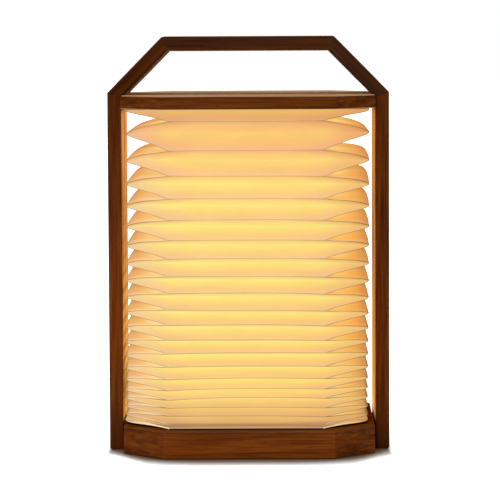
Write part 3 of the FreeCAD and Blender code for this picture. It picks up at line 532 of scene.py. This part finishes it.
@dataclass(frozen=True)
class Lens(Finish):
    """Opal plastic lit from behind by the light chips."""

    colour: Colour = srgb(255, 226, 170)

    def dress(self, graph: Graph) -> None:
        """Builds an even glow that falls off towards the rim.

        Args:
            graph: The material's graph.
        """
        coordinates, x, y, _ = graph.place()
        radius = (x * x + y * y) ** 0.5
        glow = graph.mix(radius.rise(0.016, 0.036), self.colour, dimmed(self.colour, 0.72))
        grain = graph.noise(coordinates, 700)
        graph.shader({"Emission Strength": 1, "Specular IOR Level": 0.4, "Base Color": glow,
                      "Emission Color": glow, "Roughness": 0.38 + grain * 0.12}, grain, 0.00002, 0.2)


@dataclass(frozen=True)
class Circuit(Finish):
    """Printed circuit board with faint copper tracks under the mask."""

    colour: Colour = srgb(18, 78, 48)
    track: Colour = srgb(52, 122, 74)

    def dress(self, graph: Graph) -> None:
        """Builds square cells whose borders read as tracks.

        Args:
            graph: The material's graph.
        """
        cells = graph.node("ShaderNodeTexVoronoi", {"distance": "MANHATTAN", "feature": "DISTANCE_TO_EDGE"},
                           {"Vector": graph.place()[0], "Scale": 260})
        lines = cells.rise(0.09, 0.05)
        colour = graph.mix(lines * 0.7, self.colour, self.track)
        graph.shader({"Specular IOR Level": 0.5, "Base Color": colour, "Roughness": 0.34 + lines * 0.1},
                     lines, 0.00003)


@dataclass(frozen=True)
class Phosphor(Finish):
    """Warm light chip."""

    colour: Colour = srgb(255, 206, 110)

    def dress(self, graph: Graph) -> None:
        """Builds a glowing face with a darker case.

        Args:
            graph: The material's graph.
        """
        coordinates, _, _, height = graph.place()
        top = height.rise(0.02385, 0.02395)
        speck = graph.noise(coordinates, 2500)
        colour = graph.mix(top, (0.7, 0.7, 0.68), self.colour)
        graph.shader({"Emission Strength": 1, "Base Color": colour, "Roughness": 0.4 + speck * 0.2,
                      "Emission Color": graph.mix(top, BLACK, self.colour)})


def levels(*shares: float) -> Stops:
    """Pairs the levels of an upright with shares of its tone, drawn as painted shade along its height."""
    return greys(*zip((0, 0.1, 0.25, 0.5, 0.77, 1), shares))


def wear(node: str, finish: Finish) -> None:
    """Gives a CAD piece its finish.

    Args:
        node: The piece's name.
        finish: The finish that it takes.
    """
    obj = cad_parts[node]
    if not obj.material_slots:
        obj.data.materials.append(finish.material())
    for place in obj.material_slots:
        place.material = finish.material()
    LOG.info("dressed %s with %s", node, finish.name)


def place_object(name: str, data: Any) -> bpy.types.Object:
    """Puts a mesh, a light or a camera into the scene.

    Args:
        name: The object's name.
        data: Its data.

    Returns:
        The object, at the origin and unturned.
    """
    obj = bpy.data.objects.new(name, data)
    bpy.context.scene.collection.objects.link(obj)
    return obj


def settle(obj: bpy.types.Object) -> None:
    """Applies an object's modifiers and keeps the plain mesh."""
    obj.data = bpy.data.meshes.new_from_object(obj.evaluated_get(bpy.context.evaluated_depsgraph_get()))
    obj.modifiers.clear()


@dataclass
class Repeater:
    """A template that a node tree sets on every given place."""

    name: str
    finish: Finish
    places: Sequence[Vector]
    template: bpy.types.Mesh
    # How much further each copy turns, in radians
    turn: float

    def tree(self) -> bpy.types.NodeTree:
        """Builds the tree with its named inputs.

        Returns:
            The node group.
        """
        group = bpy.data.node_groups.new("repeater", "GeometryNodeTree")
        for name, way, kind in (("Points", "INPUT", "Geometry"), ("Template", "INPUT", "Object"),
                                ("Turn", "INPUT", "Float"), ("Geometry", "OUTPUT", "Geometry")):
            group.interface.new_socket(name, in_out=way, socket_type="NodeSocket" + kind)
        start, info, index, product, joined, scatter, real, coat, end = (group.nodes.new(kind) for kind in (
            "NodeGroupInput", "GeometryNodeObjectInfo", "GeometryNodeInputIndex", "ShaderNodeMath",
            "ShaderNodeCombineXYZ", "GeometryNodeInstanceOnPoints", "GeometryNodeRealizeInstances",
            "GeometryNodeSetMaterial", "NodeGroupOutput"))
        product.operation = "MULTIPLY"
        coat.inputs["Material"].default_value = self.finish.material()
        for source, output, target, place in (
                (start, "Template", info, "Object"), (start, "Points", scatter, "Points"),
                (info, "Geometry", scatter, "Instance"), (index, 0, product, 0), (start, "Turn", product, 1),
                (product, 0, joined, "Z"), (joined, 0, scatter, "Rotation"), (scatter, 0, real, 0),
                (real, 0, coat, "Geometry"), (coat, 0, end, 0)):
            group.links.new(source.outputs[output], target.inputs[place])
        return group

    def build(self) -> bpy.types.Object:
        """Sets the template on each place and realizes the result.

        Returns:
            A plain mesh object with all the copies.
        """
        points = bpy.data.meshes.new(self.name)
        points.from_pydata(self.places, [], [])
        points.materials.append(self.finish.material())
        obj = place_object(self.name, points)
        pattern = bpy.data.objects.new(self.name + "_template", self.template)
        values = {"Template": pattern, "Turn": self.turn}
        group = self.tree()
        modifier = obj.modifiers.new("repeat", "NODES")
        modifier.node_group = group
        for item in group.interface.items_tree:
            if item.name in values:
                modifier[item.identifier] = values[item.name]
        settle(obj)
        bpy.data.objects.remove(pattern)
        bpy.data.node_groups.remove(group)
        return obj


@dataclass(frozen=True)
class Hump:
    """A curve over a panel that is 0 at both ends."""

    height: float
    rise: float
    fall: float

    def at(self, share: float) -> float:
        """Gives the curve's height at a share of the way."""
        return self.height * share ** self.rise * (1 - share) ** self.fall


class Fold(NamedTuple):
    """A fold rectangle: its middle, half its width and depth, its height, its droops at the left and right."""

    middle: float
    half_x: float
    half_y: float
    height: float
    left: float = 0.0
    right: float = 0.0

    def corner(self, number: int) -> Vector:
        """Gives one corner, from the front left round by the right."""
        sign_x, sign_y = ((-1, -1), (1, -1), (1, 1), (-1, 1))[number % 4]
        return Vector((self.middle + sign_x * self.half_x, sign_y * self.half_y, self.height))


@dataclass
class Shade:
    """The pleated paper bellows between the base and the top board."""

    pleat: float = 0.0321
    paper: float = 0.00025
    # How far the board slides down
    travel: float = 0.196
    # Points across and down a panel, and how much closer they lie towards the wide rectangle
    along: int = 24
    down: int = 12
    crowding: float = 1.5
    # Front mountain folds from the top down, as shares of the height
    fold_shares: Row = (
        0.9674, 0.8767, 0.7963, 0.7267, 0.6598, 0.5954, 0.5378, 0.4812, 0.4289, 0.374,
        0.3285, 0.2805, 0.2397, 0.1977, 0.1593, 0.1264, 0.0982, 0.0671, 0.0395, 0.0135, 0)
    # How far each of those folds droops at its left and right end, in millimetres
    droop_left: Row = (
        -0.2, 0.2, -0.3, 0.2, 0.4, 0.1, 0.5, 0.1, 0.4, -0.4, 0.3, 0.1, 0.8, 0.8, 1.1, 1.5, 1.9, 0.6, 0.1, 0.2, 0)
    droop_right: Row = (
        -0.5, -0.3, 0.3, 0.5, 0.7, 0.4, 0.4, 0.8, 1.1, 0.8, 1.1, 0.8, 0.4, 0.5, 0.7, 0.6, 0.9, 0.8, 1, 0.6, 0)
    # How far the side leaves puff up below each of those folds, as shares of the drop
    puff_left: Row = (
        0.1, 0.42, 0.85, 1, 1, 0.95, 0.85, 0.85, 0.8, 0.75, 0.75, 0.8, 0.85, 0.95, 1.1, 1.2, 1.2, 1, 0.6, 0, 0)
    puff_right: Row = (0.16, 0.42, 0.85, 0.83, 0.86, 0.94, 1, 1, 1, 1, 1, 1, 1, 0.9, 0.8, 0.7, 0.6, 0.5, 0.3, 0, 0)
    # How far their noses stand out beyond the side folds, in millimetres
    nose_left: Row = (0, 0, 0, 0, 0, 0.3, 0.6, 1, 1.4, 1.4, 1.4, 1.5, 1.6, 1.8, 2, 2, 1.6, 1.2, 0.5, 0, 0)
    nose_right: Row = (
        0.6, 1.6, 1.9, 1.9, 1.9, 1.5, 1.3, 1.1, 1, 0.9, 0.8, 0.8, 0.8, 0.8, 0.8, 0.8, 0.6, 0.4, 0.2, 0, 0)
    # The bow of panels that widen downwards, the drop of the others' corners, a sharp leaf's underside
    bow: Hump = Hump(1.0125, 2, 1)
    corner_drop: Hump = Hump(0.0036, 3, 0.35)
    sharp_puff: Hump = Hump(2.6, 0.8, 0.6)
    # A blunt leaf's underside: its height, then its start in upper and lower leaves and its end, as powers
    blunt_puff: float = 1.3
    blunt_upper: float = 0.9
    blunt_lower: float = 2.2
    blunt_end: int = 18
    # How many leaves are upper ones, and the nose of a leaf that is wholly blunt
    upper_leaves: int = 6
    blunt_nose: float = 0.0014
    # How late corners, leaf ends, noses and droops begin, as powers
    corner_power: int = 6
    leaf_power: int = 5
    nose_power: int = 4
    droop_power: float = 2.2
    shift: float = 0.0006
    tip_lift: float = 0.0009
    # How far the front folds sit to the left of the side folds, at the top and at the bottom
    lean_top: float = -0.0008
    lean_low: float = -0.0018
    # How far the lowest side folds sit to the left of the highest ones
    lean_side: float = -0.0018
    levels: list[Fold] = field(default_factory=list)
    centre: float = 0.0
    low: float = 0.0
    high: float = 0.0

    def measure(self) -> None:
        """Works out the fold rectangles from the CAD solid's box."""
        lowest, highest = (Vector(corner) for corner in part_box("shade_bellows"))
        self.centre = (lowest.x + highest.x) / 2 + self.shift
        self.low, self.high = lowest.z, highest.z
        half_x, half_y = (highest.x - lowest.x) / 2, (highest.y - lowest.y) / 2
        fronts = [Fold(self.centre + self.lean_low * (1 - share) + self.lean_top * share, half_x - self.pleat, half_y,
                       self.low + share * (self.high - self.low), left * MILLIMETRE, right * MILLIMETRE)
                  for share, left, right in zip(self.fold_shares, self.droop_left, self.droop_right)]
        self.levels = [Fold(self.centre, half_x, half_y - self.pleat, self.high), fronts[0]]
        for number, (above, below) in enumerate(zip(fronts, fronts[1:])):
            fallen = 1 - (self.fold_shares[number] + self.fold_shares[number + 1]) / 2
            self.levels += [Fold(self.centre + self.lean_side * fallen * fallen, half_x, half_y - self.pleat,
                                 (above.height + below.height) / 2, (above.left + below.left) / 2 - self.tip_lift,
                                 (above.right + below.right) / 2 - self.tip_lift), below]

    def sag(self, level: float, x: float) -> float:
        """Gives how far the paper droops at a place.

        Args:
            level: The level, which may lie between two.
            x: The place from left to right.

        Returns:
            The droop in metres.
        """
        first = int(level)
        share = level - first
        reach = max(-1, min(1, (x - self.centre) / self.levels[1].half_x))
        above, below = (fold.left if reach < 0 else fold.right
                        for fold in (self.levels[first], self.levels[min(first + 1, len(self.levels) - 1)]))
        return (above * (1 - share) + below * share) * abs(reach) ** self.droop_power

    def point(self, level: int, side: int, u: float, toward: float) -> Vector:
        """Gives one point of a panel, bowed, puffed and drooping.

        Args:
            level: The panel's upper fold rectangle.
            side: 0 in front, then 1 right, 2 behind and 3 left.
            u: The share of the way across.
            toward: The share of the way to the wide fold rectangle.

        Returns:
            The point's place.
        """
        upper, lower = self.levels[level:level + 2]
        flank, upper_wide, leaf = side % 2 == 1, level % 2 == 0, level // 2
        v = 1 - toward if upper_wide else toward
        drop, edge = upper.height - lower.height, abs(2 * u - 1)
        point = upper.corner(side).lerp(upper.corner(side + 1), u).lerp(
            lower.corner(side).lerp(lower.corner(side + 1), u), v)
        if upper_wide:
            point.z -= self.corner_drop.at(toward) * edge ** self.corner_power
        else:
            point.z += self.bow.at(toward) * drop * (1 if flank else edge ** self.corner_power)
        if flank and not upper_wide:
            puff = (self.puff_left if side == 3 else self.puff_right)[leaf] * drop
            nose = (-self.nose_left[leaf] if side == 3 else self.nose_right[leaf]) * MILLIMETRE
            blunt = min(1, abs(nose) / self.blunt_nose)
            start = toward ** (self.blunt_upper if leaf < self.upper_leaves else self.blunt_lower)
            raised = (self.blunt_puff * start * (1 - toward ** self.blunt_end) * blunt
                      + self.sharp_puff.at(toward) * (1 - blunt)) * (1 - edge ** self.leaf_power)
            point.z += puff * raised
            point.x += nose * raised * toward ** self.nose_power
        point.z -= self.sag(level + v, point.x)
        return point

    def facet(self, mesh: bmesh.types.BMesh, level: int, side: int) -> None:
        """Builds one trapezoid of paper with its UVs and its sharp folds.

        Args:
            mesh: The mesh it is added to.
            level: The upper fold rectangle.
            side: 0 in front, then 1 right, 2 behind and 3 left.
        """
        upper, lower = self.levels[level:level + 2]
        lengths = [(fold.corner(side + 1) - fold.corner(side)).length for fold in (upper, lower)]
        slant = math.hypot(upper.height - lower.height, self.pleat)
        slope = slant / math.hypot(slant, self.pleat)
        flank, upper_wide = side % 2 == 1, level % 2 == 0
        falling = upper_wide == flank
        across = [0.5 - 0.5 * math.cos(math.pi * column / self.along) for column in range(self.along + 1)]
        grid: list[list[Any]] = []
        for row in range(self.down + 1):
            toward = 1 - (1 - row / self.down) ** self.crowding
            grid.append([(mesh.verts.new(self.point(level, side, u, toward)), u,
                          1 - toward if upper_wide else toward) for u in across])
        if upper_wide:
            grid.reverse()
        fold, seam, turn = mesh.loops.layers.uv.values()
        for above, below in zip(grid, grid[1:]):
            for column in range(self.along):
                ring = [above[column], below[column], below[column + 1], above[column + 1]]
                face = mesh.faces.new([vertex for vertex, _, _ in ring])
                face.smooth = True
                for loop, (vertex, u, v) in zip(face.loops, ring):
                    share = v if falling else 1 - v
                    inward = min(u, 1 - u) * (lengths[0] * (1 - v) + lengths[1] * v) * slope
                    loop[fold].uv = (share, share * slant * UV_PER_METRE)
                    loop[seam].uv = (inward * UV_PER_METRE, (vertex.co.z - self.low) / (self.high - self.low))
                    loop[turn].uv = (float(flank), float(not falling))
        for border in (grid[0], grid[-1], [line[0] for line in grid], [line[-1] for line in grid]):
            for first, second in zip(border, border[1:]):
                mesh.edges.get((first[0], second[0])).smooth = False

    def build(self) -> None:
        """Builds the whole bellows and sets it on the stand."""
        self.measure()
        mesh = bmesh.new()
        for name in ("fold", "seam", "turn"):
            mesh.loops.layers.uv.new(name)
        for level in range(len(self.levels) - 1):
            for side in range(4):
                self.facet(mesh, level, side)
        bmesh.ops.remove_doubles(mesh, verts=mesh.verts, dist=0.000002)
        data = bpy.data.meshes.new("paper_shade")
        mesh.to_mesh(data)
        mesh.free()
        data.materials.append(GlowingPaper("glowing_paper").material())
        shade = place_object("paper_shade", data)
        wall = shade.modifiers.new("thickness", "SOLIDIFY")
        wall.thickness, wall.offset, wall.use_rim = self.paper, -1, True
        settle(shade)
        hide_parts("shade_bellows")
        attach(shade, "stand")
        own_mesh(shade)
        LOG.info("built paper_shade with %d faces", len(shade.data.polygons))


# Each finish with its CAD pieces
FINISHES: tuple[tuple[Finish, tuple[str, ...]], ...] = (
    (Walnut("walnut_bar", Grain.ACROSS, 1, 0.63, sky_sheen=0.012), ("handle_bar",)),
    (Walnut("walnut_left_brace", Grain.RISING, 2, 0.68), ("left_brace",)),
    (Walnut("walnut_right_brace", Grain.FALLING, 3, 0.48, sky_sheen=0.016), ("right_brace",)),
    (Walnut("walnut_left_upright", Grain.UPWARD, 4, 1.53, levels(0.52, 0.68, 0.95, 0.87, 0.45, 0.42)),
     ("left_upright",)),
    (Walnut("walnut_right_upright", Grain.UPWARD, 5, 1.26, levels(0.48, 0.82, 1.02, 0.86, 0.67, 0.62)),
     ("right_upright",)),
    (Walnut("walnut_base", Grain.ACROSS, 6, 1.76, greys(
        (0, 1.05), (0.03, 1.05), (0.05, 0.88), (0.057, 0.84), (0.0602, 0.6), (0.0627, 0.8)),
            edge=0.0189, cut_and_top_shade=0.18), ("base_block",)),
    (Walnut("walnut_board", Grain.ACROSS, 7, 0.92, sheen_above=0.2531), ("top_board",)),
    (Walnut("beech_dowel", Grain.UPWARD, 8, 1, dark=srgb(150, 112, 74), middle=srgb(186, 146, 100),
            light=srgb(206, 170, 124)), ("frame_dowels",)),
    (Metal("plated_steel", (0.5, 0.5, 0.5), 0.34),
     ("strike_discs", "frame_screws", "control_board_screws", "light_screws", "lower_card_screws",
      "upper_card_screws", "charging_socket", "switch_dome")),
    (Metal("nickel", (0.62, 0.6, 0.57), 0.2), ("board_magnets",)),
    (Metal("turned_brass", (0.72, 0.48, 0.16), 0.26, (2400, 300, 300)),
     ("guide_pins", "control_board_standoffs")),
    (Metal("rolled_aluminium", (0.72, 0.72, 0.73), 0.36, (200, 2600, 2600)), ("heat_plate",)),
    (Moulded("black_moulding", (0.016, 0.015, 0.014), 0.52),
     ("bottom_cover", "rear_panel", "switch_housing", "board_components", "socket_tongue")),
    (Moulded("dark_washer", (0.012, 0.01, 0.008), 0.6), ("frame_spacers",)),
    (Moulded("button_gloss", (0.03, 0.03, 0.03), 0.18, 300, 0.00001, 0.5), ("power_button", "switch_plunger")),
    (Moulded("pad_rubber", (0.02, 0.02, 0.02), 0.72, 2200, 0.00008, 0.3), ("foot_pads",)),
    (Moulded("pouch_foil", (0.28, 0.3, 0.33), 0.3, 500, 0.0001, 0.6), ("battery_pack",)),
    (Moulded("tape_foam", (0.06, 0.06, 0.06), 0.85, 900, 0.0002, 0.2), ("battery_tape",)),
    (Moulded("lead_sleeve", (0.25, 0.012, 0.01), 0.42, 600, 0.00002, 0.45), ("battery_lead", "light_lead")),
    # The lower card frame is drawn dark brown as painted shade, where the paper meets the base
    (Card("painted_shade_card", srgb(64, 30, 10)), ("lower_card_frame",)),
    (Card("cream_card"), ("upper_card_frame",)),
    (Circuit("circuit_mask"), ("control_board", "led_board")),
    (Phosphor("warm_chip"), ("led_chips",)),
    (Lens("opal_lens"), ("light_diffuser",)),
)


@dataclass
class Pieces:
    """The CAD's own pieces, and the heads of the cover's screws."""

    head_radius: float = 0.0025
    head_height: float = 0.0015
    head_sides: int = 24
    # The recess: its reach and half width in head radii, its depth, and its floor's share
    reach: float = 0.62
    arm: float = 0.14
    recess: float = 0.0007
    floor: float = 0.7
    # The top's share of the head's width
    top: float = 0.5
    # Half the way between the screws in a row, and how much further each is turned
    across: float = 0.044
    turn: float = 0.7

    def screw_head(self) -> bpy.types.Mesh:
        """Builds one flat screw head with a cross recess, facing down.

        Returns:
            The mesh, centred on its own axis.
        """
        mesh = bmesh.new()
        reach, half = self.head_radius * self.reach, self.head_radius * self.arm
        angles = [math.tau * number / self.head_sides for number in range(self.head_sides)]
        circle = [(self.head_radius * math.sin(angle), self.head_radius * math.cos(angle)) for angle in angles]
        cross = [(half, reach), (half, half), (reach, half)]
        for _ in range(3):
            cross += [(y, -x) for x, y in cross[-3:]]

        def ring(outline: list[tuple[float, float]], share: float, height: float) -> list[Any]:
            """Adds an outline's points at a height."""
            return [mesh.verts.new((x * share, y * share, height)) for x, y in outline]
        rim, top = ring(circle, 1, 0), ring(circle, self.top, self.head_height)
        arms, floor = ring(cross, 1, 0), ring(cross, self.floor, self.recess)
        edges = [mesh.edges.new((vertex, line[(number + 1) % len(line)]))
                 for line in (rim, arms) for number, vertex in enumerate(line)]
        bmesh.ops.triangle_fill(mesh, use_beauty=True, use_dissolve=False, edges=edges)
        middles = [(face, sorted(map(abs, face.calc_center_median()[:2]))) for face in mesh.faces]
        inside = [face for face, (near, far) in middles if near < half and far < reach]
        bmesh.ops.delete(mesh, geom=inside, context="FACES_ONLY")
        for outer, inner in ((arms, floor), (rim, top)):
            for number in range(len(outer)):
                following = (number + 1) % len(outer)
                mesh.faces.new((outer[number], outer[following], inner[following], inner[number]))
            mesh.faces.new(inner)
        bmesh.ops.recalc_face_normals(mesh, faces=mesh.faces)
        data = bpy.data.meshes.new("screw_head")
        mesh.to_mesh(data)
        mesh.free()
        return data

    def cover_screws(self) -> None:
        """Sets a cross-recess head at each screw of the bottom cover."""
        lowest, highest = (Vector(corner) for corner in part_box("cover_screws"))
        edge_x, edge_y = highest.x - self.head_radius, highest.y - self.head_radius
        places = [Vector((x, y, lowest.z)) for x in (-self.across, self.across) for y in (-edge_y, edge_y)]
        places += [Vector((x, 0, lowest.z)) for x in (-edge_x, edge_x)]
        screws = Repeater("cover_screw_heads", Metal("screw_steel", (0.42, 0.42, 0.43), 0.32), places,
                          self.screw_head(), self.turn).build()
        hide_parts("cover_screws")
        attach(screws, "stand")
        LOG.info("built cover_screw_heads with %d faces", len(screws.data.polygons))

    def build(self) -> None:
        """Dresses the CAD pieces and adds the screw heads."""
        for finish, nodes in FINISHES:
            for node in nodes:
                wear(node, finish)
        self.cover_screws()


@dataclass(frozen=True)
class Lamp:
    """A soft rectangular light that no mirror or view shows."""

    name: str
    place: Triple
    target: Triple
    # Width and height in metres, and power in watts
    size: tuple[float, float]
    power: float
    colour: Colour

    def build(self) -> None:
        """Puts the light into the scene."""
        data = bpy.data.lights.new(self.name, "AREA")
        data.shape = "RECTANGLE"
        data.size, data.size_y = self.size
        data.energy, data.color = self.power, self.colour
        place = Vector(self.place)
        turn = (Vector(self.target) - place).to_track_quat("-Z", "Y")
        light = place_object(self.name, data)
        light.matrix_world = Matrix.Translation(place) @ turn.to_matrix().to_4x4()
        light.visible_camera = light.visible_glossy = light.visible_transmission = False


# Three soft lights, and the warm light that leaves the shade's sides for the uprights
LAMPS = (
    Lamp("key_light", (-1.2, -1.7, 1.9), (0, 0, 0.14), (2.8, 2.8), 30.5, (1, 0.985, 0.96)),
    Lamp("fill_light", (1.7, -1.3, 1), (0, 0, 0.14), (1.4, 1.4), 3, (1, 0.98, 0.95)),
    Lamp("top_light", (0.2, 0.5, 2.3), (0, 0, 0.14), (3.2, 3.2), 24, WHITE),
    Lamp("left_glow", (-0.0884, 0, 0.132), (-1, 0, 0.132), (0.078, 0.222), 0.31, (1, 0.98, 0.5)),
    Lamp("right_glow", (0.0879, 0, 0.132), (1, 0, 0.132), (0.078, 0.222), 0.31, (1, 0.98, 0.5)))


@dataclass
class Studio:
    """The floor, the lights and the camera that the photograph had."""

    focal_pixels: float = 2977.73
    image_pixels: float = 500.0
    place: Triple = (0.021429, -2.152831, 0.308821)
    pitch: float = -0.0782653
    yaw: float = 0.0097279
    roll: float = -0.0047556
    # The backdrop's light on matt surfaces, and its warm tint in mirrors
    sky: float = 0.62
    sky_mirror: Colour = (1, 0.60, 0.34)
    floor_half: float = 12.0
    # How white the floor shows, by how open it lies: a painted contact shadow
    floor_shadow: Stops = greys((0.43, 0.028), (0.61, 0.06), (0.73, 0.087), (0.81, 0.152), (0.88, 0.278),
                               (0.93, 0.43), (0.96, 0.53), (0.985, 0.62), (1, 1))

    def camera(self) -> None:
        """Sets the camera where the photograph's perspective puts it."""
        data = bpy.data.cameras.new("photo_camera")
        data.sensor_fit = "HORIZONTAL"
        data.sensor_width = 36
        data.lens = self.focal_pixels / self.image_pixels * data.sensor_width
        data.clip_start, data.clip_end = 0.05, 60
        forward = Vector((-math.sin(self.yaw) * math.cos(self.pitch), math.cos(self.yaw) * math.cos(self.pitch),
                          math.sin(self.pitch)))
        level = Vector((math.cos(self.yaw), math.sin(self.yaw), 0))
        above = level.cross(forward)
        right = level * math.cos(self.roll) + above * math.sin(self.roll)
        up = above * math.cos(self.roll) - level * math.sin(self.roll)
        camera = place_object("photo_camera", data)
        camera.matrix_world = Matrix.Translation(Vector(self.place)) @ Matrix(
            (right, up, -forward)).transposed().to_4x4()
        bpy.context.scene.camera = camera

    def world(self) -> None:
        """Makes a white backdrop that lights the object at a plain level."""
        world = bpy.data.worlds.new("studio_white")
        bpy.context.scene.world = world
        world.use_nodes = True
        graph = Graph(world.node_tree)
        ray = graph.node("ShaderNodeLightPath")
        camera, glossy, clear = (graph.other(ray, "Is %s Ray" % kind) for kind in ("Camera", "Glossy", "Transmission"))
        _, away, up = graph.split(graph.node("ShaderNodeTexCoord", output="Generated"))
        behind = away.rise(-0.3, 0.6) * up.rise(-0.02, 0.04)
        mirror = glossy * (0.05 + behind * 0.55)
        shown = camera.most(clear).most(mirror)
        strength = shown + (1 - camera.most(clear).most(glossy)) * self.sky
        tint = graph.mix(glossy * behind, WHITE, self.sky_mirror)
        light = graph.node("ShaderNodeBackground", inputs={"Color": tint, "Strength": strength})
        graph.show(light, "World")

    def floor(self) -> None:
        """Lays a white floor with a painted contact shadow of the lamp."""
        data = bpy.data.meshes.new("studio_floor")
        data.from_pydata([(x * self.floor_half, y * self.floor_half, 0)
                          for x, y in ((-1, -1), (1, -1), (1, 1), (-1, 1))], [], [(0, 1, 2, 3)])
        material = bpy.data.materials.new("studio_white_floor")
        material.use_nodes = True
        graph = Graph(material.node_tree)
        camera = graph.node("ShaderNodeLightPath")
        _, x, y, _ = graph.place()
        # Painted shadow from how closed in the floor lies, lighter at the left and towards the sides, almost gone
        # beside the uprights and away from the lamp, warm where darkest
        left = x.rise(-0.055, -0.095)
        foot = graph.shelter(16, 0.037) + abs(x).rise(0.07, 0.093) * 0.1 + left * 0.08
        soft = graph.ramp(self.floor_shadow, foot)
        beside = (abs(x).rise(0.0978, 0.1030) * (left * 0.1 + 0.88)).most(abs(y).rise(0.2, 0.3))
        share = graph.split(soft)[0].most(beside)
        warm = graph.mix(share.rise(0.16, 0.03), WHITE, (1, 0.42, 0.13))
        paint = graph.node("ShaderNodeBsdfDiffuse", inputs={
            "Color": graph.mix(share, (0.045, 0.022, 0.008), (0.86, 0.86, 0.86))})
        lift = graph.node("ShaderNodeEmission", inputs={"Color": warm, "Strength": camera * share})
        both = graph.node("ShaderNodeAddShader", inputs={0: paint, 1: lift})
        graph.show(both)
        data.materials.append(material)
        floor = place_object("studio_floor", data)

    def build(self) -> None:
        """Sets up the whole studio."""
        bpy.context.scene.view_settings.view_transform = "Standard"
        self.camera()
        self.world()
        self.floor()
        for lamp in LAMPS:
            lamp.build()
        LOG.info("studio is set")


def main() -> None:
    """Builds the lamp's pieces in order."""
    logging.basicConfig(level=logging.INFO, format="%(name)s: %(message)s")
    Studio().build()
    Pieces().build()
    Shade().build()


if __name__ == "__main__":
    main()
